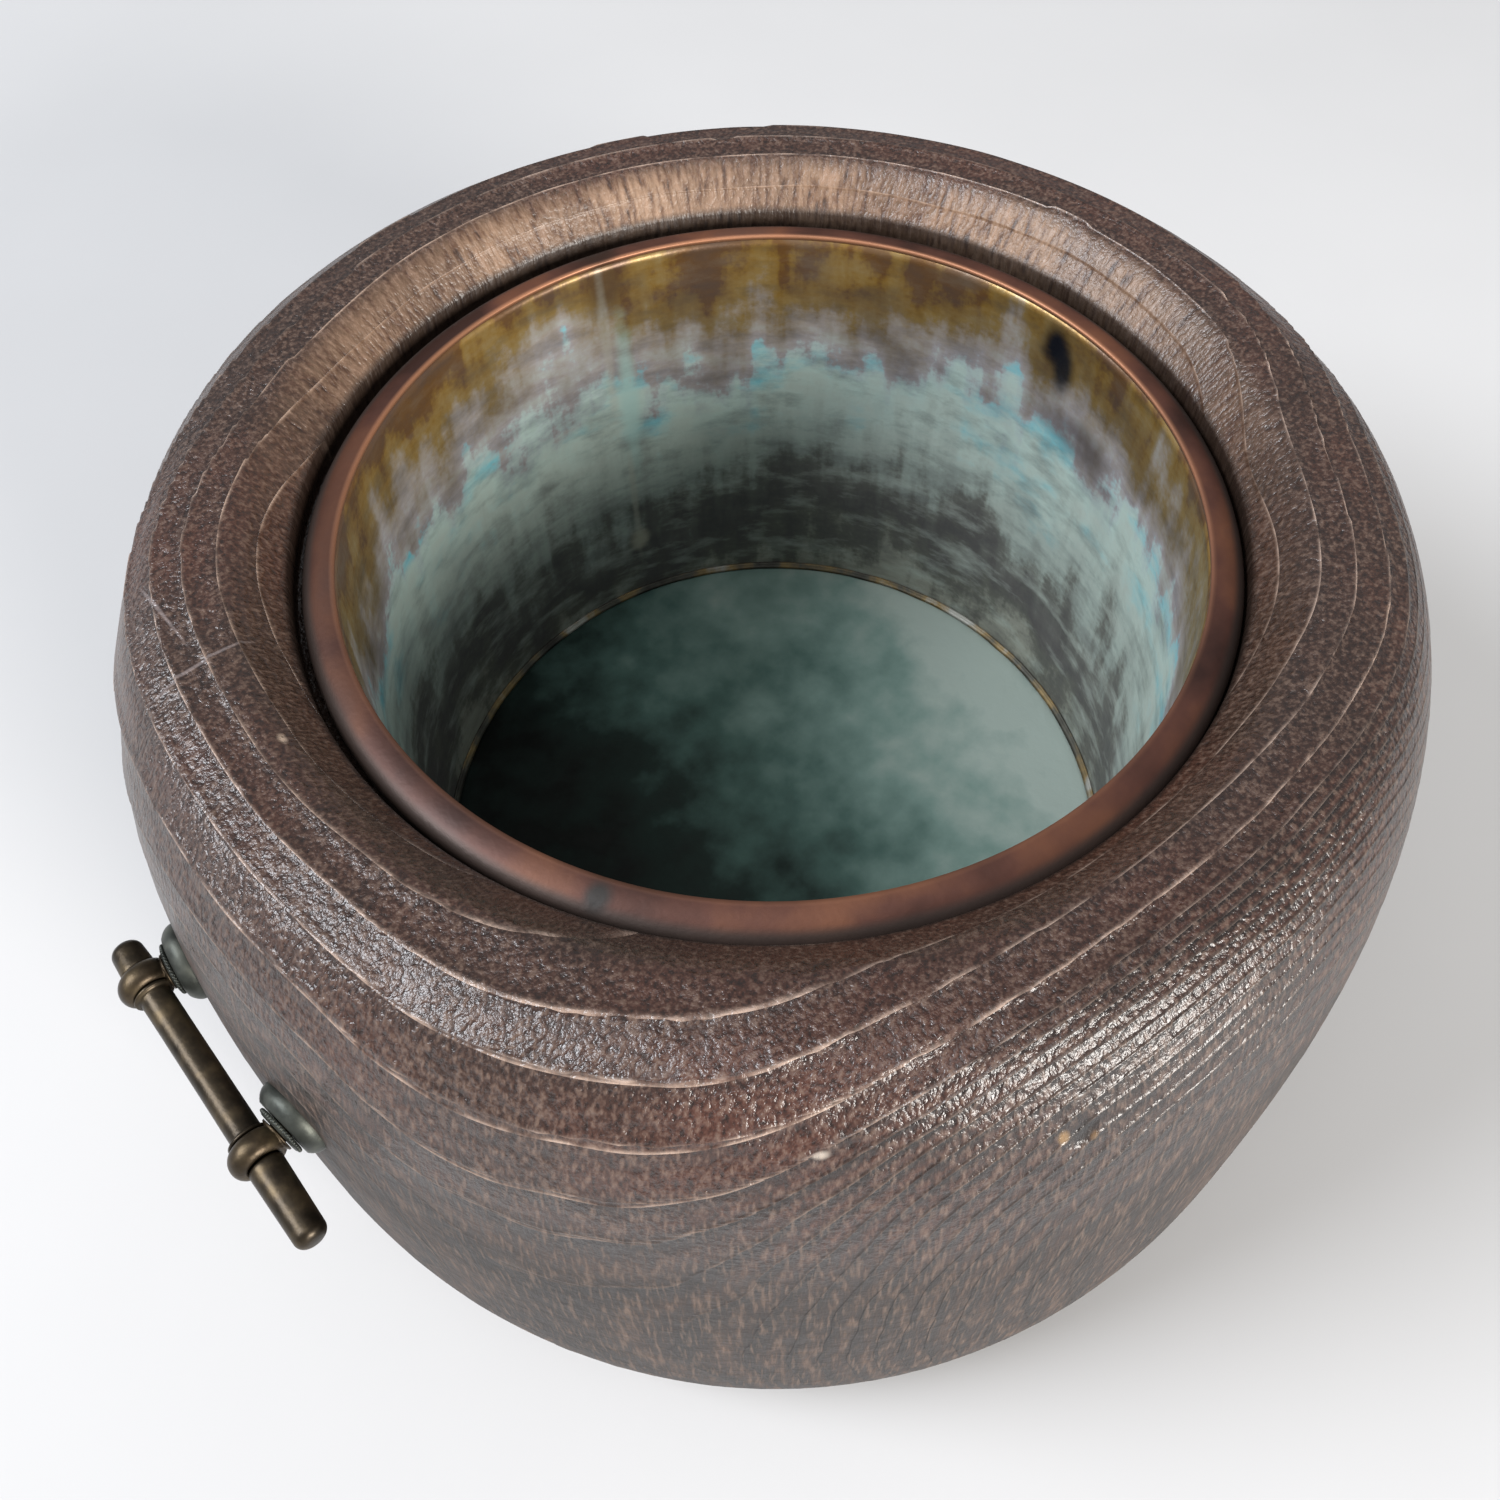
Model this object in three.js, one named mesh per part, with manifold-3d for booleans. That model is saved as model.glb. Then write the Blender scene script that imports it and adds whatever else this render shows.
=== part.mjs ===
// Hibachi: a charcoal brazier turned from one thick log section, with a lift-out copper liner
// and a turned bronze bar handle on each side. Millimetres, +Z up, origin at the middle of the base.

import * as THREE from 'three';
import { mergeVertices } from 'three/addons/utils/BufferGeometryUtils.js';
import Module from 'manifold-3d';

const wasm = await Module();
wasm.setup();

// ---- Driving dimensions -------------------------------------------------------------------

// Wooden body, a log section bored right through.
const BODY_DIAMETER = 396.8;
const BODY_HEIGHT = 240;
const BELLY_Z = 75;               // height of the widest place
const RIM_LAND = 6.5;             // from the worn slope out to the crest of the rim
const FOOT_LAND = 17.7;           // from the board's rebate out to the edge of the flat base
const OUTLINE_POWER = 3;          // fullness of the barrel curve, 2 would be an ellipse
const BEVEL_WIDTH = 12;           // worn slope from the rim down to the lip, measured inwards
const BEVEL_DROP = 14;            // and downwards
const BEVEL_TOP_DROP = 1;         // upper edge of the slope below the crest

// Bottom board, let into a rebate from below and pegged to its shoulder.
const BOARD_SHOULDER = 12;        // width of the shoulder above its edge
const BOARD_THICKNESS = 24;
const BOARD_INSET = 6;            // how far its face lies above the base
const PEG_COUNT = 6;
const PEG_DIAMETER = 6;
const PEG_GRIP = 16;              // peg length beyond the board, in the body

// Copper liner: rolled wall, flat floor, solder fillet, folded lip over a wire.
const LINER_BORE = 249;
const SHEET = 1.5;
const LIP_WIDTH = 10;
const LIP_HEIGHT = 9;
const LIP_FACE = 3.6;             // straight part of the lip's outer face
const LIP_WIRE_DIAMETER = 4;
const LIP_WIRE_DROP = 1;          // below the underside of the lip
const LIP_BELOW_CREST = 15;       // lip crest below the rim crest
const FILLET = 1.8;
const EDGE_DROP = 0.5;            // of the floor's dressed edge
const EDGE_MARGIN = 0.8;          // from the flat of the floor to the solder
const LINER_SHIFT = -1.5;         // the liner sits against the front of its rebate

// Handles.
const BAR_DIAMETER = 8.8;
const BAR_BELOW_CREST = 87;       // bar axis below the rim crest
const BAR_NECK_DIAMETER = 8;      // inside each eye
const BAR_SHORT_OVERHANG = 14.5;  // tip beyond the middle of its eye
const BAR_LONG_OVERHANG = 29.1;
const BAR_END_STEP = 0.9;         // radial step from the neck to the end
const BAR_TIP_DIAMETER = 9;
const BAR_TIP_ROUND = 3;
const BAR_COLLAR_STEP = 1.7;      // radial step from the neck to the collar
const BAR_COLLAR_WIDTH = 1;
const EYE_SPACING = 62.4;         // between the two eyes of a handle
const EYE_DIAMETER = 16;
const EYE_WIDTH = 7.5;
const EYE_EDGE = 0.8;             // how far the bore's edges stand inside the eye's faces
const EYE_FOOT = 2.2;             // thickness between its bore and its seat
const SHANK_DIAMETER = 6.2;
const LEG_THICKNESS = 2;
const LEG_WIDTH = 5;
const LEG_REACH = 12;             // how far a bent leg reaches from the shank's axis
const ROSETTE_DIAMETER = 23.5;
const ROSETTE_CROWN = 6.2;        // height of the full dome before its top is cut flat
const ROSETTE_HEIGHT = 3.8;
const ROSETTE_SKIRT = 2;          // part of the dome below the wood's surface line, fitted to it
const WASHER_DIAMETER = 15.7;
const WASHER_THICKNESS = 1.5;
const WASHER_RIM = 0.9;           // straight part of its edge
const WASHER_BEVEL = 1;
const CLINCH_DIAMETER = 20;
const CLINCH_THICKNESS = 1.2;
const POCKET_DIAMETER = 30;
const POCKET_DEPTH = 4.6;         // pocket for the bent legs in the bore's wall

// Clearances.
const GAP = 0.3;                  // between touching pieces
const SPIN_CLEARANCE = 0.25;      // radial, bar in its eyes
const END_CLEARANCE = 0.4;        // between the bar's shoulders and its eyes
const REBATE_CLEARANCE = 2;       // radial, lip in its rebate
const WELL_CLEARANCE = 4;         // radial, liner in the bore of the body
const FLOOR_CLEARANCE = 16.8;     // under the liner

// Facets round each kind of turned piece.
const BODY_FACETS = 64;
const LINER_FACETS = 64;
const BAR_FACETS = 16;
const SMALL_FACETS = 20;
const PEG_FACETS = 12;
const WIRE_FACETS = 6;
const OUTLINE_STEPS = 9;
const LIP_STEPS = 5;
const EYE_STEPS = 5;
const DOME_STEPS = 4;
const TIP_STEPS = 3;

// ---- Sizes that follow ---------------------------------------------------------------------

const linerRadius = LINER_BORE / 2;
const lipCrestZ = BODY_HEIGHT - LIP_BELOW_CREST;
const lipOuterRadius = linerRadius + LIP_WIDTH;
const lipBottomZ = lipCrestZ - LIP_HEIGHT;

const bodyRadius = BODY_DIAMETER / 2;
const wellRadius = linerRadius + SHEET + WELL_CLEARANCE;
const rebateRadius = lipOuterRadius + REBATE_CLEARANCE;
const ledgeZ = lipBottomZ - GAP;
const bevelTopZ = BODY_HEIGHT - BEVEL_TOP_DROP;
const bevelBottomZ = bevelTopZ - BEVEL_DROP;
const crestRadius = rebateRadius + BEVEL_WIDTH + RIM_LAND;
const boardRadius = wellRadius + BOARD_SHOULDER;
const boardTop = BOARD_INSET + BOARD_THICKNESS;
const footRadius = boardRadius + GAP + FOOT_LAND;
const pegRadius = PEG_DIAMETER / 2;
const pegCircle = (wellRadius + boardRadius) / 2;
const floorZ = boardTop + FLOOR_CLEARANCE + SHEET;

const barZ = BODY_HEIGHT - BAR_BELOW_CREST;
const eyeY = EYE_SPACING / 2;
const eyeBore = BAR_NECK_DIAMETER / 2 + SPIN_CLEARANCE;
const seatRadial = outlineRadiusAt(barZ);
const washerBase = seatRadial + ROSETTE_HEIGHT + GAP;
const washerTop = washerBase + WASHER_THICKNESS;
const eyeSeat = washerTop + GAP;
const eyeRadial = eyeSeat + EYE_FOOT + eyeBore;
const eyeAngle = Math.asin(eyeY / eyeRadial);
const barX = eyeRadial * Math.cos(eyeAngle);
const shankHole = SHANK_DIAMETER / 2 + GAP;
const pocketFloor = wellRadius + POCKET_DEPTH;
const clinchOuter = pocketFloor - GAP;
const clinchInner = clinchOuter - CLINCH_THICKNESS;
const legOuter = clinchInner - GAP;
const legInner = legOuter - LEG_THICKNESS;

// ---- Finishes ------------------------------------------------------------------------------

function finish(colour, roughness, metalness) {
  return new THREE.MeshStandardMaterial({ color: colour, roughness, metalness });
}

const lacqueredElm = () => finish(0x4a2e24, 0.45, 0);
const paleWood = () => finish(0x8a6a4c, 0.7, 0);
const bamboo = () => finish(0xa98a5c, 0.6, 0);
const patinatedCopper = () => finish(0x5f7a74, 0.6, 0.6);
const brownCopper = () => finish(0x6b3a26, 0.35, 0.9);
const solder = () => finish(0x8c8f8a, 0.5, 0.8);
const iron = () => finish(0x4a4643, 0.55, 0.8);
const agedBronze = () => finish(0x3d3222, 0.4, 0.9);
const greyBronze = () => finish(0x474a45, 0.5, 0.8);

// ---- Working with solids -------------------------------------------------------------------

// A closed three.js geometry with its shared vertices joined and no collapsed faces.
function welded(geometry) {
  const bare = geometry.index ? geometry.toNonIndexed() : geometry.clone();
  bare.deleteAttribute('normal');
  bare.deleteAttribute('uv');
  const merged = mergeVertices(bare, 1e-4);
  const corners = merged.index.array;
  const kept = [];
  for (let i = 0; i < corners.length; i += 3) {
    const [a, b, c] = [corners[i], corners[i + 1], corners[i + 2]];
    if (a !== b && b !== c && c !== a) {
      kept.push(a, b, c);
    }
  }
  merged.setIndex(kept);
  return merged;
}

function solidFrom(geometry) {
  const closed = welded(geometry);
  const vertProperties = new Float32Array(closed.attributes.position.array);
  const triVerts = new Uint32Array(closed.index.array);
  return new wasm.Manifold(new wasm.Mesh({ numProp: 3, vertProperties, triVerts }));
}

function geometryFrom(solid) {
  const mesh = solid.getMesh();
  const geometry = new THREE.BufferGeometry();
  geometry.setAttribute('position', new THREE.BufferAttribute(new Float32Array(mesh.vertProperties), 3));
  geometry.setIndex(new THREE.BufferAttribute(new Uint32Array(mesh.triVerts), 1));
  return geometry;
}

// Turned about Z. The profile is a list of [radius, z] running up the outside and down the inside.
function turned(profile, facets) {
  const points = profile.map(([radius, z]) => new THREE.Vector2(radius, z));
  const geometry = new THREE.LatheGeometry(points, facets);
  geometry.rotateX(Math.PI / 2);
  return geometry;
}

function ringProfile(inner, outer, low, high) {
  return [[inner, low], [outer, low], [outer, high], [inner, high], [inner, low]];
}

function discProfile(radius, low, high) {
  return [[0, low], [radius, low], [radius, high], [0, high]];
}

// Lays a piece turned about Z along +X, and one turned about Z along +Y.
const alongX = (geometry) => geometry.rotateY(Math.PI / 2);
const alongY = (geometry) => geometry.rotateX(-Math.PI / 2);

// A quarter of the barrel curve from [widest, z0] to [narrow, z1], left out at its start.
function barrelQuarter(narrow, widest, z0, z1) {
  const points = [];
  for (let i = 1; i <= OUTLINE_STEPS; i += 1) {
    const angle = (i / OUTLINE_STEPS) * (Math.PI / 2);
    const out = Math.abs(Math.cos(angle)) ** (2 / OUTLINE_POWER);
    const up = Math.sin(angle) ** (2 / OUTLINE_POWER);
    const radius = i === OUTLINE_STEPS ? narrow : narrow + (widest - narrow) * out;
    points.push([radius, z0 + (z1 - z0) * up]);
  }
  return points;
}

// Outer outline of the body from its foot to the rim crest, moved outwards by grow.
function bodyOutline(grow = 0) {
  const widest = bodyRadius + grow;
  const lower = barrelQuarter(footRadius + grow, widest, BELLY_Z, -grow).reverse();
  const upper = barrelQuarter(crestRadius + grow, widest, BELLY_Z, BODY_HEIGHT + grow);
  return [...lower, [widest, BELLY_Z], ...upper];
}

// Radius of that outline at a height.
function outlineRadiusAt(z) {
  const narrow = z > BELLY_Z ? crestRadius : footRadius;
  const reach = z > BELLY_Z ? BODY_HEIGHT - BELLY_Z : BELLY_Z;
  const part = Math.abs(z - BELLY_Z) / reach;
  return narrow + (bodyRadius - narrow) * (1 - part ** OUTLINE_POWER) ** (1 / OUTLINE_POWER);
}

// ---- Placing ------------------------------------------------------------------------------

const hibachi = new THREE.Group();

function add(group, name, geometry, material) {
  const mesh = new THREE.Mesh(geometry, material);
  mesh.name = name;
  group.add(mesh);
  return mesh;
}

// The frame that each of a handle's eyes is built in: +X runs outwards through the eye.
function eyeFrame(side, end) {
  return new THREE.Matrix4().makeRotationZ(side + end * eyeAngle).setPosition(0, 0, barZ);
}

const handleSides = [['left', Math.PI], ['right', 0]];
const handleEnds = [['short', -1], ['long', 1]];

// ---- Wooden body --------------------------------------------------------------------------

function bodyProfile() {
  return [
    [boardRadius + GAP, 0],
    ...bodyOutline(),
    [rebateRadius + BEVEL_WIDTH, bevelTopZ],
    [rebateRadius, bevelBottomZ],
    [rebateRadius, ledgeZ],
    [wellRadius, ledgeZ],
    [wellRadius, boardTop + GAP],
    [boardRadius + GAP, boardTop + GAP],
    [boardRadius + GAP, 0],
  ];
}

// What is drilled for one eye: the shank's hole and the pocket for its bent legs.
function eyeDrilling() {
  const hole = alongX(turned(discProfile(shankHole, wellRadius, bodyRadius + GAP), SMALL_FACETS));
  const pocketStart = wellRadius - POCKET_DEPTH;
  const pocket = alongX(turned(discProfile(POCKET_DIAMETER / 2, pocketStart, pocketFloor), SMALL_FACETS));
  return solidFrom(hole).add(solidFrom(pocket));
}

function pegPlace(index) {
  const angle = ((index + 0.5) / PEG_COUNT) * 2 * Math.PI;
  return [pegCircle * Math.cos(angle), pegCircle * Math.sin(angle)];
}

// Peg holes run through the board and stop a gap beyond the pegs in the body.
function pegHole(index) {
  const [x, y] = pegPlace(index);
  const top = boardTop + PEG_GRIP + GAP;
  const hole = turned(discProfile(pegRadius + GAP, 0, top), PEG_FACETS);
  return solidFrom(hole.translate(x, y, 0));
}

function woodBody() {
  let body = solidFrom(turned(bodyProfile(), BODY_FACETS));
  for (const [, side] of handleSides) {
    for (const [, end] of handleEnds) {
      body = body.subtract(eyeDrilling().transform(eyeFrame(side, end).elements));
    }
  }
  for (let i = 0; i < PEG_COUNT; i += 1) {
    body = body.subtract(pegHole(i));
  }
  return geometryFrom(body);
}

function bottomBoard() {
  let board = solidFrom(turned(discProfile(boardRadius, BOARD_INSET, boardTop), BODY_FACETS));
  for (let i = 0; i < PEG_COUNT; i += 1) {
    board = board.subtract(pegHole(i));
  }
  return geometryFrom(board);
}

function peg() {
  return turned(discProfile(pegRadius, BOARD_INSET, boardTop + PEG_GRIP), PEG_FACETS);
}

add(hibachi, 'wood_body', woodBody(), lacqueredElm());
add(hibachi, 'bottom_board', bottomBoard(), paleWood());
for (let i = 0; i < PEG_COUNT; i += 1) {
  const [x, y] = pegPlace(i);
  add(hibachi, `board_peg_${i + 1}`, peg(), bamboo()).position.set(x, y, 0);
}

// ---- Copper liner -------------------------------------------------------------------------

// Quarter of an ellipse from the lip's outer face up to the crest over its inner edge.
function lipArc(width, height) {
  const shoulderZ = lipBottomZ + LIP_FACE;
  const points = [];
  for (let i = 0; i <= LIP_STEPS; i += 1) {
    const angle = (i / LIP_STEPS) * (Math.PI / 2);
    points.push([linerRadius + width * Math.cos(angle), shoulderZ + height * Math.sin(angle)]);
  }
  return points;
}

// Lip section: a rounded cover of sheet that rises to a sharp inner crest and turns down outside.
function lipProfile() {
  const height = LIP_HEIGHT - LIP_FACE;
  return [
    [lipOuterRadius, lipBottomZ],
    ...lipArc(LIP_WIDTH, height),
    ...lipArc(LIP_WIDTH - SHEET, height - SHEET).reverse(),
    [lipOuterRadius - SHEET, lipBottomZ],
    [lipOuterRadius, lipBottomZ],
  ];
}

// Round wire inside the lip, which stiffens it.
function lipWire() {
  const radius = LIP_WIRE_DIAMETER / 2;
  const centreR = linerRadius + SHEET + GAP + radius;
  const centreZ = lipCrestZ - SHEET - LIP_WIRE_DROP - radius;
  const points = [];
  for (let i = 0; i <= WIRE_FACETS; i += 1) {
    const angle = (i / WIRE_FACETS) * 2 * Math.PI;
    points.push([centreR + radius * Math.cos(angle), centreZ + radius * Math.sin(angle)]);
  }
  return turned(points, LINER_FACETS);
}

function linerWall() {
  const top = lipCrestZ - SHEET - GAP;
  return turned(ringProfile(linerRadius, linerRadius + SHEET, floorZ - SHEET, top), LINER_FACETS);
}

// Flat sheet whose edge is dressed down under the solder.
function linerFloor() {
  const low = floorZ - SHEET;
  const edge = linerRadius - GAP;
  const flat = edge - FILLET - EDGE_MARGIN;
  const profile = [[0, low], [edge, low], [edge, floorZ - EDGE_DROP], [flat, floorZ], [0, floorZ]];
  return turned(profile, LINER_FACETS);
}

// Three-cornered fillet of solder in the angle between floor and wall.
function floorFillet() {
  const outer = linerRadius - GAP;
  const inner = outer - FILLET;
  const low = floorZ + GAP;
  return turned([[inner, low], [outer, low], [outer, low + FILLET], [inner, low]], LINER_FACETS);
}

const liner = new THREE.Group();
liner.position.set(0, LINER_SHIFT, 0);
hibachi.add(liner);
add(liner, 'liner_wall', linerWall(), patinatedCopper());
add(liner, 'liner_floor', linerFloor(), patinatedCopper());
add(liner, 'liner_lip', turned(lipProfile(), LINER_FACETS), brownCopper());
add(liner, 'lip_wire', lipWire(), iron());
add(liner, 'floor_solder', floorFillet(), solder());

// ---- Handles ------------------------------------------------------------------------------

// Rounded tip of the bar, from its axis to the tip's full radius.
function barTip() {
  const radius = BAR_TIP_DIAMETER / 2;
  const points = [[0, 0]];
  for (let i = 0; i <= TIP_STEPS; i += 1) {
    const angle = (i / TIP_STEPS) * (Math.PI / 2);
    const out = radius - BAR_TIP_ROUND * (1 - Math.sin(angle));
    points.push([out, BAR_TIP_ROUND * (1 - Math.cos(angle))]);
  }
  return points;
}

// One end of the bar from its tip to the collar inside the eye, as [radius, distance from middle].
function barEnd(overhang) {
  const neck = BAR_NECK_DIAMETER / 2;
  const shoulder = eyeY + EYE_WIDTH / 2 + END_CLEARANCE;
  const collarOuter = eyeY - EYE_WIDTH / 2 - END_CLEARANCE;
  const collarInner = collarOuter - BAR_COLLAR_WIDTH;
  return [
    ...barTip().map(([radius, inwards]) => [radius, eyeY + overhang - inwards]),
    [neck + BAR_END_STEP, shoulder],
    [neck, shoulder],
    [neck, collarOuter],
    [neck + BAR_COLLAR_STEP, collarOuter],
    [neck + BAR_COLLAR_STEP, collarInner],
    [BAR_DIAMETER / 2, collarInner],
  ];
}

function bar() {
  const shortEnd = barEnd(BAR_SHORT_OVERHANG).map(([radius, along]) => [radius, -along]);
  const longEnd = barEnd(BAR_LONG_OVERHANG).reverse();
  return alongY(turned([...shortEnd, ...longEnd], BAR_FACETS));
}

// Section of the eye's ring: a round back and a straight bore.
function eyeProfile() {
  const heart = eyeBore + EYE_EDGE;
  const points = [];
  for (let i = 0; i <= EYE_STEPS; i += 1) {
    const angle = (i / EYE_STEPS - 0.5) * Math.PI;
    const out = heart + (EYE_DIAMETER / 2 - heart) * Math.cos(angle);
    points.push([out, (EYE_WIDTH / 2) * Math.sin(angle)]);
  }
  const edge = EYE_WIDTH / 2 - EYE_EDGE;
  return [...points, [eyeBore, edge], [eyeBore, -edge], points[0]];
}

// Ring round the bar, cut flat on its seat, with a shank through the body and legs bent over.
function eye(end) {
  const ring = alongY(turned(eyeProfile(), SMALL_FACETS)).rotateZ(-end * eyeAngle);
  const below = alongX(turned(discProfile(EYE_DIAMETER, seatRadial, eyeSeat), SMALL_FACETS));
  const shankTop = (eyeSeat + eyeRadial - eyeBore) / 2;
  const shank = alongX(turned(discProfile(SHANK_DIAMETER / 2, legInner, shankTop), SMALL_FACETS));
  const legs = new THREE.BoxGeometry(LEG_THICKNESS, LEG_WIDTH, 2 * LEG_REACH);
  legs.translate((legInner + legOuter) / 2, 0, 0);
  const trimmed = solidFrom(ring.translate(eyeRadial, 0, 0)).subtract(solidFrom(below));
  return geometryFrom(trimmed.add(solidFrom(shank)).add(solidFrom(legs)));
}

function domeProfile() {
  const radius = ROSETTE_DIAMETER / 2;
  const last = Math.asin(ROSETTE_HEIGHT / ROSETTE_CROWN);
  const points = [[shankHole, -ROSETTE_SKIRT], [radius, -ROSETTE_SKIRT]];
  for (let i = 0; i <= DOME_STEPS; i += 1) {
    const angle = (i / DOME_STEPS) * last;
    points.push([radius * Math.cos(angle), ROSETTE_CROWN * Math.sin(angle)]);
  }
  return [...points, [shankHole, ROSETTE_HEIGHT], points[0]];
}

// Dome whose underside is fitted to the barrel curve of the wood.
function rosette(side, end) {
  const dome = alongX(turned(domeProfile(), SMALL_FACETS)).translate(seatRadial, 0, 0);
  const outline = [[0, -GAP], ...bodyOutline(GAP), [0, BODY_HEIGHT + GAP]];
  const wood = turned(outline, BODY_FACETS).applyMatrix4(eyeFrame(side, end).invert());
  return geometryFrom(solidFrom(dome).subtract(solidFrom(wood)));
}

function seatWasher() {
  const outer = WASHER_DIAMETER / 2;
  const profile = [
    [shankHole, washerBase],
    [outer, washerBase],
    [outer, washerBase + WASHER_RIM],
    [outer - WASHER_BEVEL, washerTop],
    [shankHole, washerTop],
    [shankHole, washerBase],
  ];
  return alongX(turned(profile, SMALL_FACETS));
}

function clinchWasher() {
  const profile = ringProfile(shankHole, CLINCH_DIAMETER / 2, clinchInner, clinchOuter);
  return alongX(turned(profile, SMALL_FACETS));
}

for (const [sideName, side] of handleSides) {
  const handle = new THREE.Group();
  handle.position.set(0, 0, barZ);
  handle.rotation.z = side;
  hibachi.add(handle);
  add(handle, `${sideName}_bar`, bar(), agedBronze()).position.set(barX, 0, 0);
  for (const [endName, end] of handleEnds) {
    const station = new THREE.Group();
    station.rotation.z = end * eyeAngle;
    handle.add(station);
    const place = `${sideName}_${endName}`;
    add(station, `${place}_eye`, eye(end), agedBronze());
    add(station, `${place}_rosette`, rosette(side, end), greyBronze());
    add(station, `${place}_seat_washer`, seatWasher(), greyBronze());
    add(station, `${place}_clinch_washer`, clinchWasher(), iron());
  }
}

export default hibachi;
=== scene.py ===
"""Round hibachi: a turned elm body, a lift-out copper liner and two bronze bar handles."""
import math
import bmesh
import bpy
from mathutils import Matrix, Vector, noise


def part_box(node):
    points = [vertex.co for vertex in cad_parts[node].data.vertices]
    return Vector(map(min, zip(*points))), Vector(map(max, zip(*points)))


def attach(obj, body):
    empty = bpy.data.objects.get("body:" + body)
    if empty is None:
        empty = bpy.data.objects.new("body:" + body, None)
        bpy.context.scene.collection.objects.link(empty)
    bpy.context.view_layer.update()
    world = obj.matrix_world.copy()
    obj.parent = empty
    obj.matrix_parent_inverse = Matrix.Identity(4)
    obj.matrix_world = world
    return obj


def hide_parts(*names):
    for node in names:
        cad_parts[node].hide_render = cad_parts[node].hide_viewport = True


bl_info = {
    "name": "Hibachi brazier",
    "version": (1, 0, 0),
    "blender": (4, 5, 0),
    "location": "3D View > Sidebar > Hibachi",
    "description": "Builds the finished pieces of a round wooden hibachi on its CAD frame",
    "category": "Object",
}

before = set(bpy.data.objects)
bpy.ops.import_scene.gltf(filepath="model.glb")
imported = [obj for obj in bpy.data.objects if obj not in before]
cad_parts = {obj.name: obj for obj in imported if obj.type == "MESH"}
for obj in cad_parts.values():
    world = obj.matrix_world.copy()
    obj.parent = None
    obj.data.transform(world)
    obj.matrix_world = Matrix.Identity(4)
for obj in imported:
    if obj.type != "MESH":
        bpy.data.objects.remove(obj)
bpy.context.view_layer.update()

MM = 0.001
BODY_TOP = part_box("wood_body")[1].z
LIP_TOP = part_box("liner_lip")[1].z
FLOOR_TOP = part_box("liner_floor")[1].z
LINER_Y = (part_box("liner_wall")[0].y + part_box("liner_wall")[1].y) / 2
# Thickness of the copper sheet, and the air left between its pieces.
SHEET = 1.5 * MM
GAP = 0.3 * MM
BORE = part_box("liner_wall")[1].x - SHEET
BAR_X = (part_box("right_bar")[0].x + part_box("right_bar")[1].x) / 2
BAR_Z = (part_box("right_bar")[0].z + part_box("right_bar")[1].z) / 2
EYE_Y = 31.2 * MM
EYE_ANGLE = math.atan2(EYE_Y, BAR_X)
EYE_RADIAL = math.hypot(EYE_Y, BAR_X)
SEAT_RADIAL = 196.81 * MM
SIDES = {"right": 0.0, "left": math.pi}
ENDS = {"short": -1, "long": 1}

# Grain of the log: where the rings swell outwards or shrink inwards round the body.
# Each row is the azimuth in degrees, how narrow the swelling is, and its height in millimetres.
RING_LOBES = (
    (-92.0, 4.6, 20.0),
    (-134.5, 32.0, -7.0),
    (-154.5, 32.0, -5.5),
    (-188.0, 32.0, -2.0),
    (-213.5, 21.0, -9.5),
    (-38.0, 32.0, 10.0),
)
RIM_LIFT_AZIMUTH = -142.7
# Where the studio lights point, how far off they stand, and half the width of the floor.
LIGHT_TARGET = Vector((0.0, 0.0, 0.18))
LIGHT_DISTANCE = 4.0
FLOOR_REACH = 12.0
# Direction of the far, lit side of the rim: its slope shows more bare wood, painted lighter there,
# and the lip's crest a painted highlight.
FAR_LIT_SIDE = (0.66, 0.75, 0.0)


def toward(azimuth, elevation=0.0):
    """The direction of an azimuth and elevation in degrees, of length one."""
    turn, tilt = math.radians(azimuth), math.radians(elevation)
    return Vector((math.cos(turn) * math.cos(tilt), math.sin(turn) * math.cos(tilt),
                   math.sin(tilt)))


def metres(points):
    """The points of a section given in millimetres, in metres."""
    return [(radius * MM, along * MM) for radius, along in points]


def linear(code):
    """An sRGB hex colour as linear red, green, blue and an alpha of one."""
    found = []
    for start in (0, 2, 4):
        value = int(code[start:start + 2], 16) / 255
        found.append(value / 12.92 if value <= 0.04045 else ((value + 0.055) / 1.055) ** 2.4)
    return (*found, 1.0)


def put(tree, kind, inputs=(), stops=(), **settings):
    """Adds a node with its settings, fills or links its inputs, and gives its outputs. Stops are
    the positions and hex colours of a colour ramp."""
    made = tree.nodes.new(kind)
    for name, value in settings.items():
        setattr(made, name, value)
    while stops and len(made.color_ramp.elements) < len(stops):
        made.color_ramp.elements.new(0.5)
    for index, (position, code) in enumerate(stops):
        made.color_ramp.elements[index].position = position
        made.color_ramp.elements[index].color = linear(code)
    pairs = inputs.items() if isinstance(inputs, dict) else enumerate(inputs)
    for key, value in pairs:
        if isinstance(value, bpy.types.NodeSocket):
            tree.links.new(value, made.inputs[key])
        elif value is not None:
            made.inputs[key].default_value = value
    return made.outputs


def new_material(name):
    """An empty material with one Principled shader on its output."""
    material = bpy.data.materials.new(name)
    material.use_nodes = True
    tree = material.node_tree
    tree.nodes.clear()
    shader = tree.nodes.new("ShaderNodeBsdfPrincipled")
    output = tree.nodes.new("ShaderNodeOutputMaterial")
    tree.links.new(shader.outputs[0], output.inputs[0])
    return material, tree, shader


# ---- Growth rings, the same rule for the shape and for the colour ---------------------------

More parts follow.
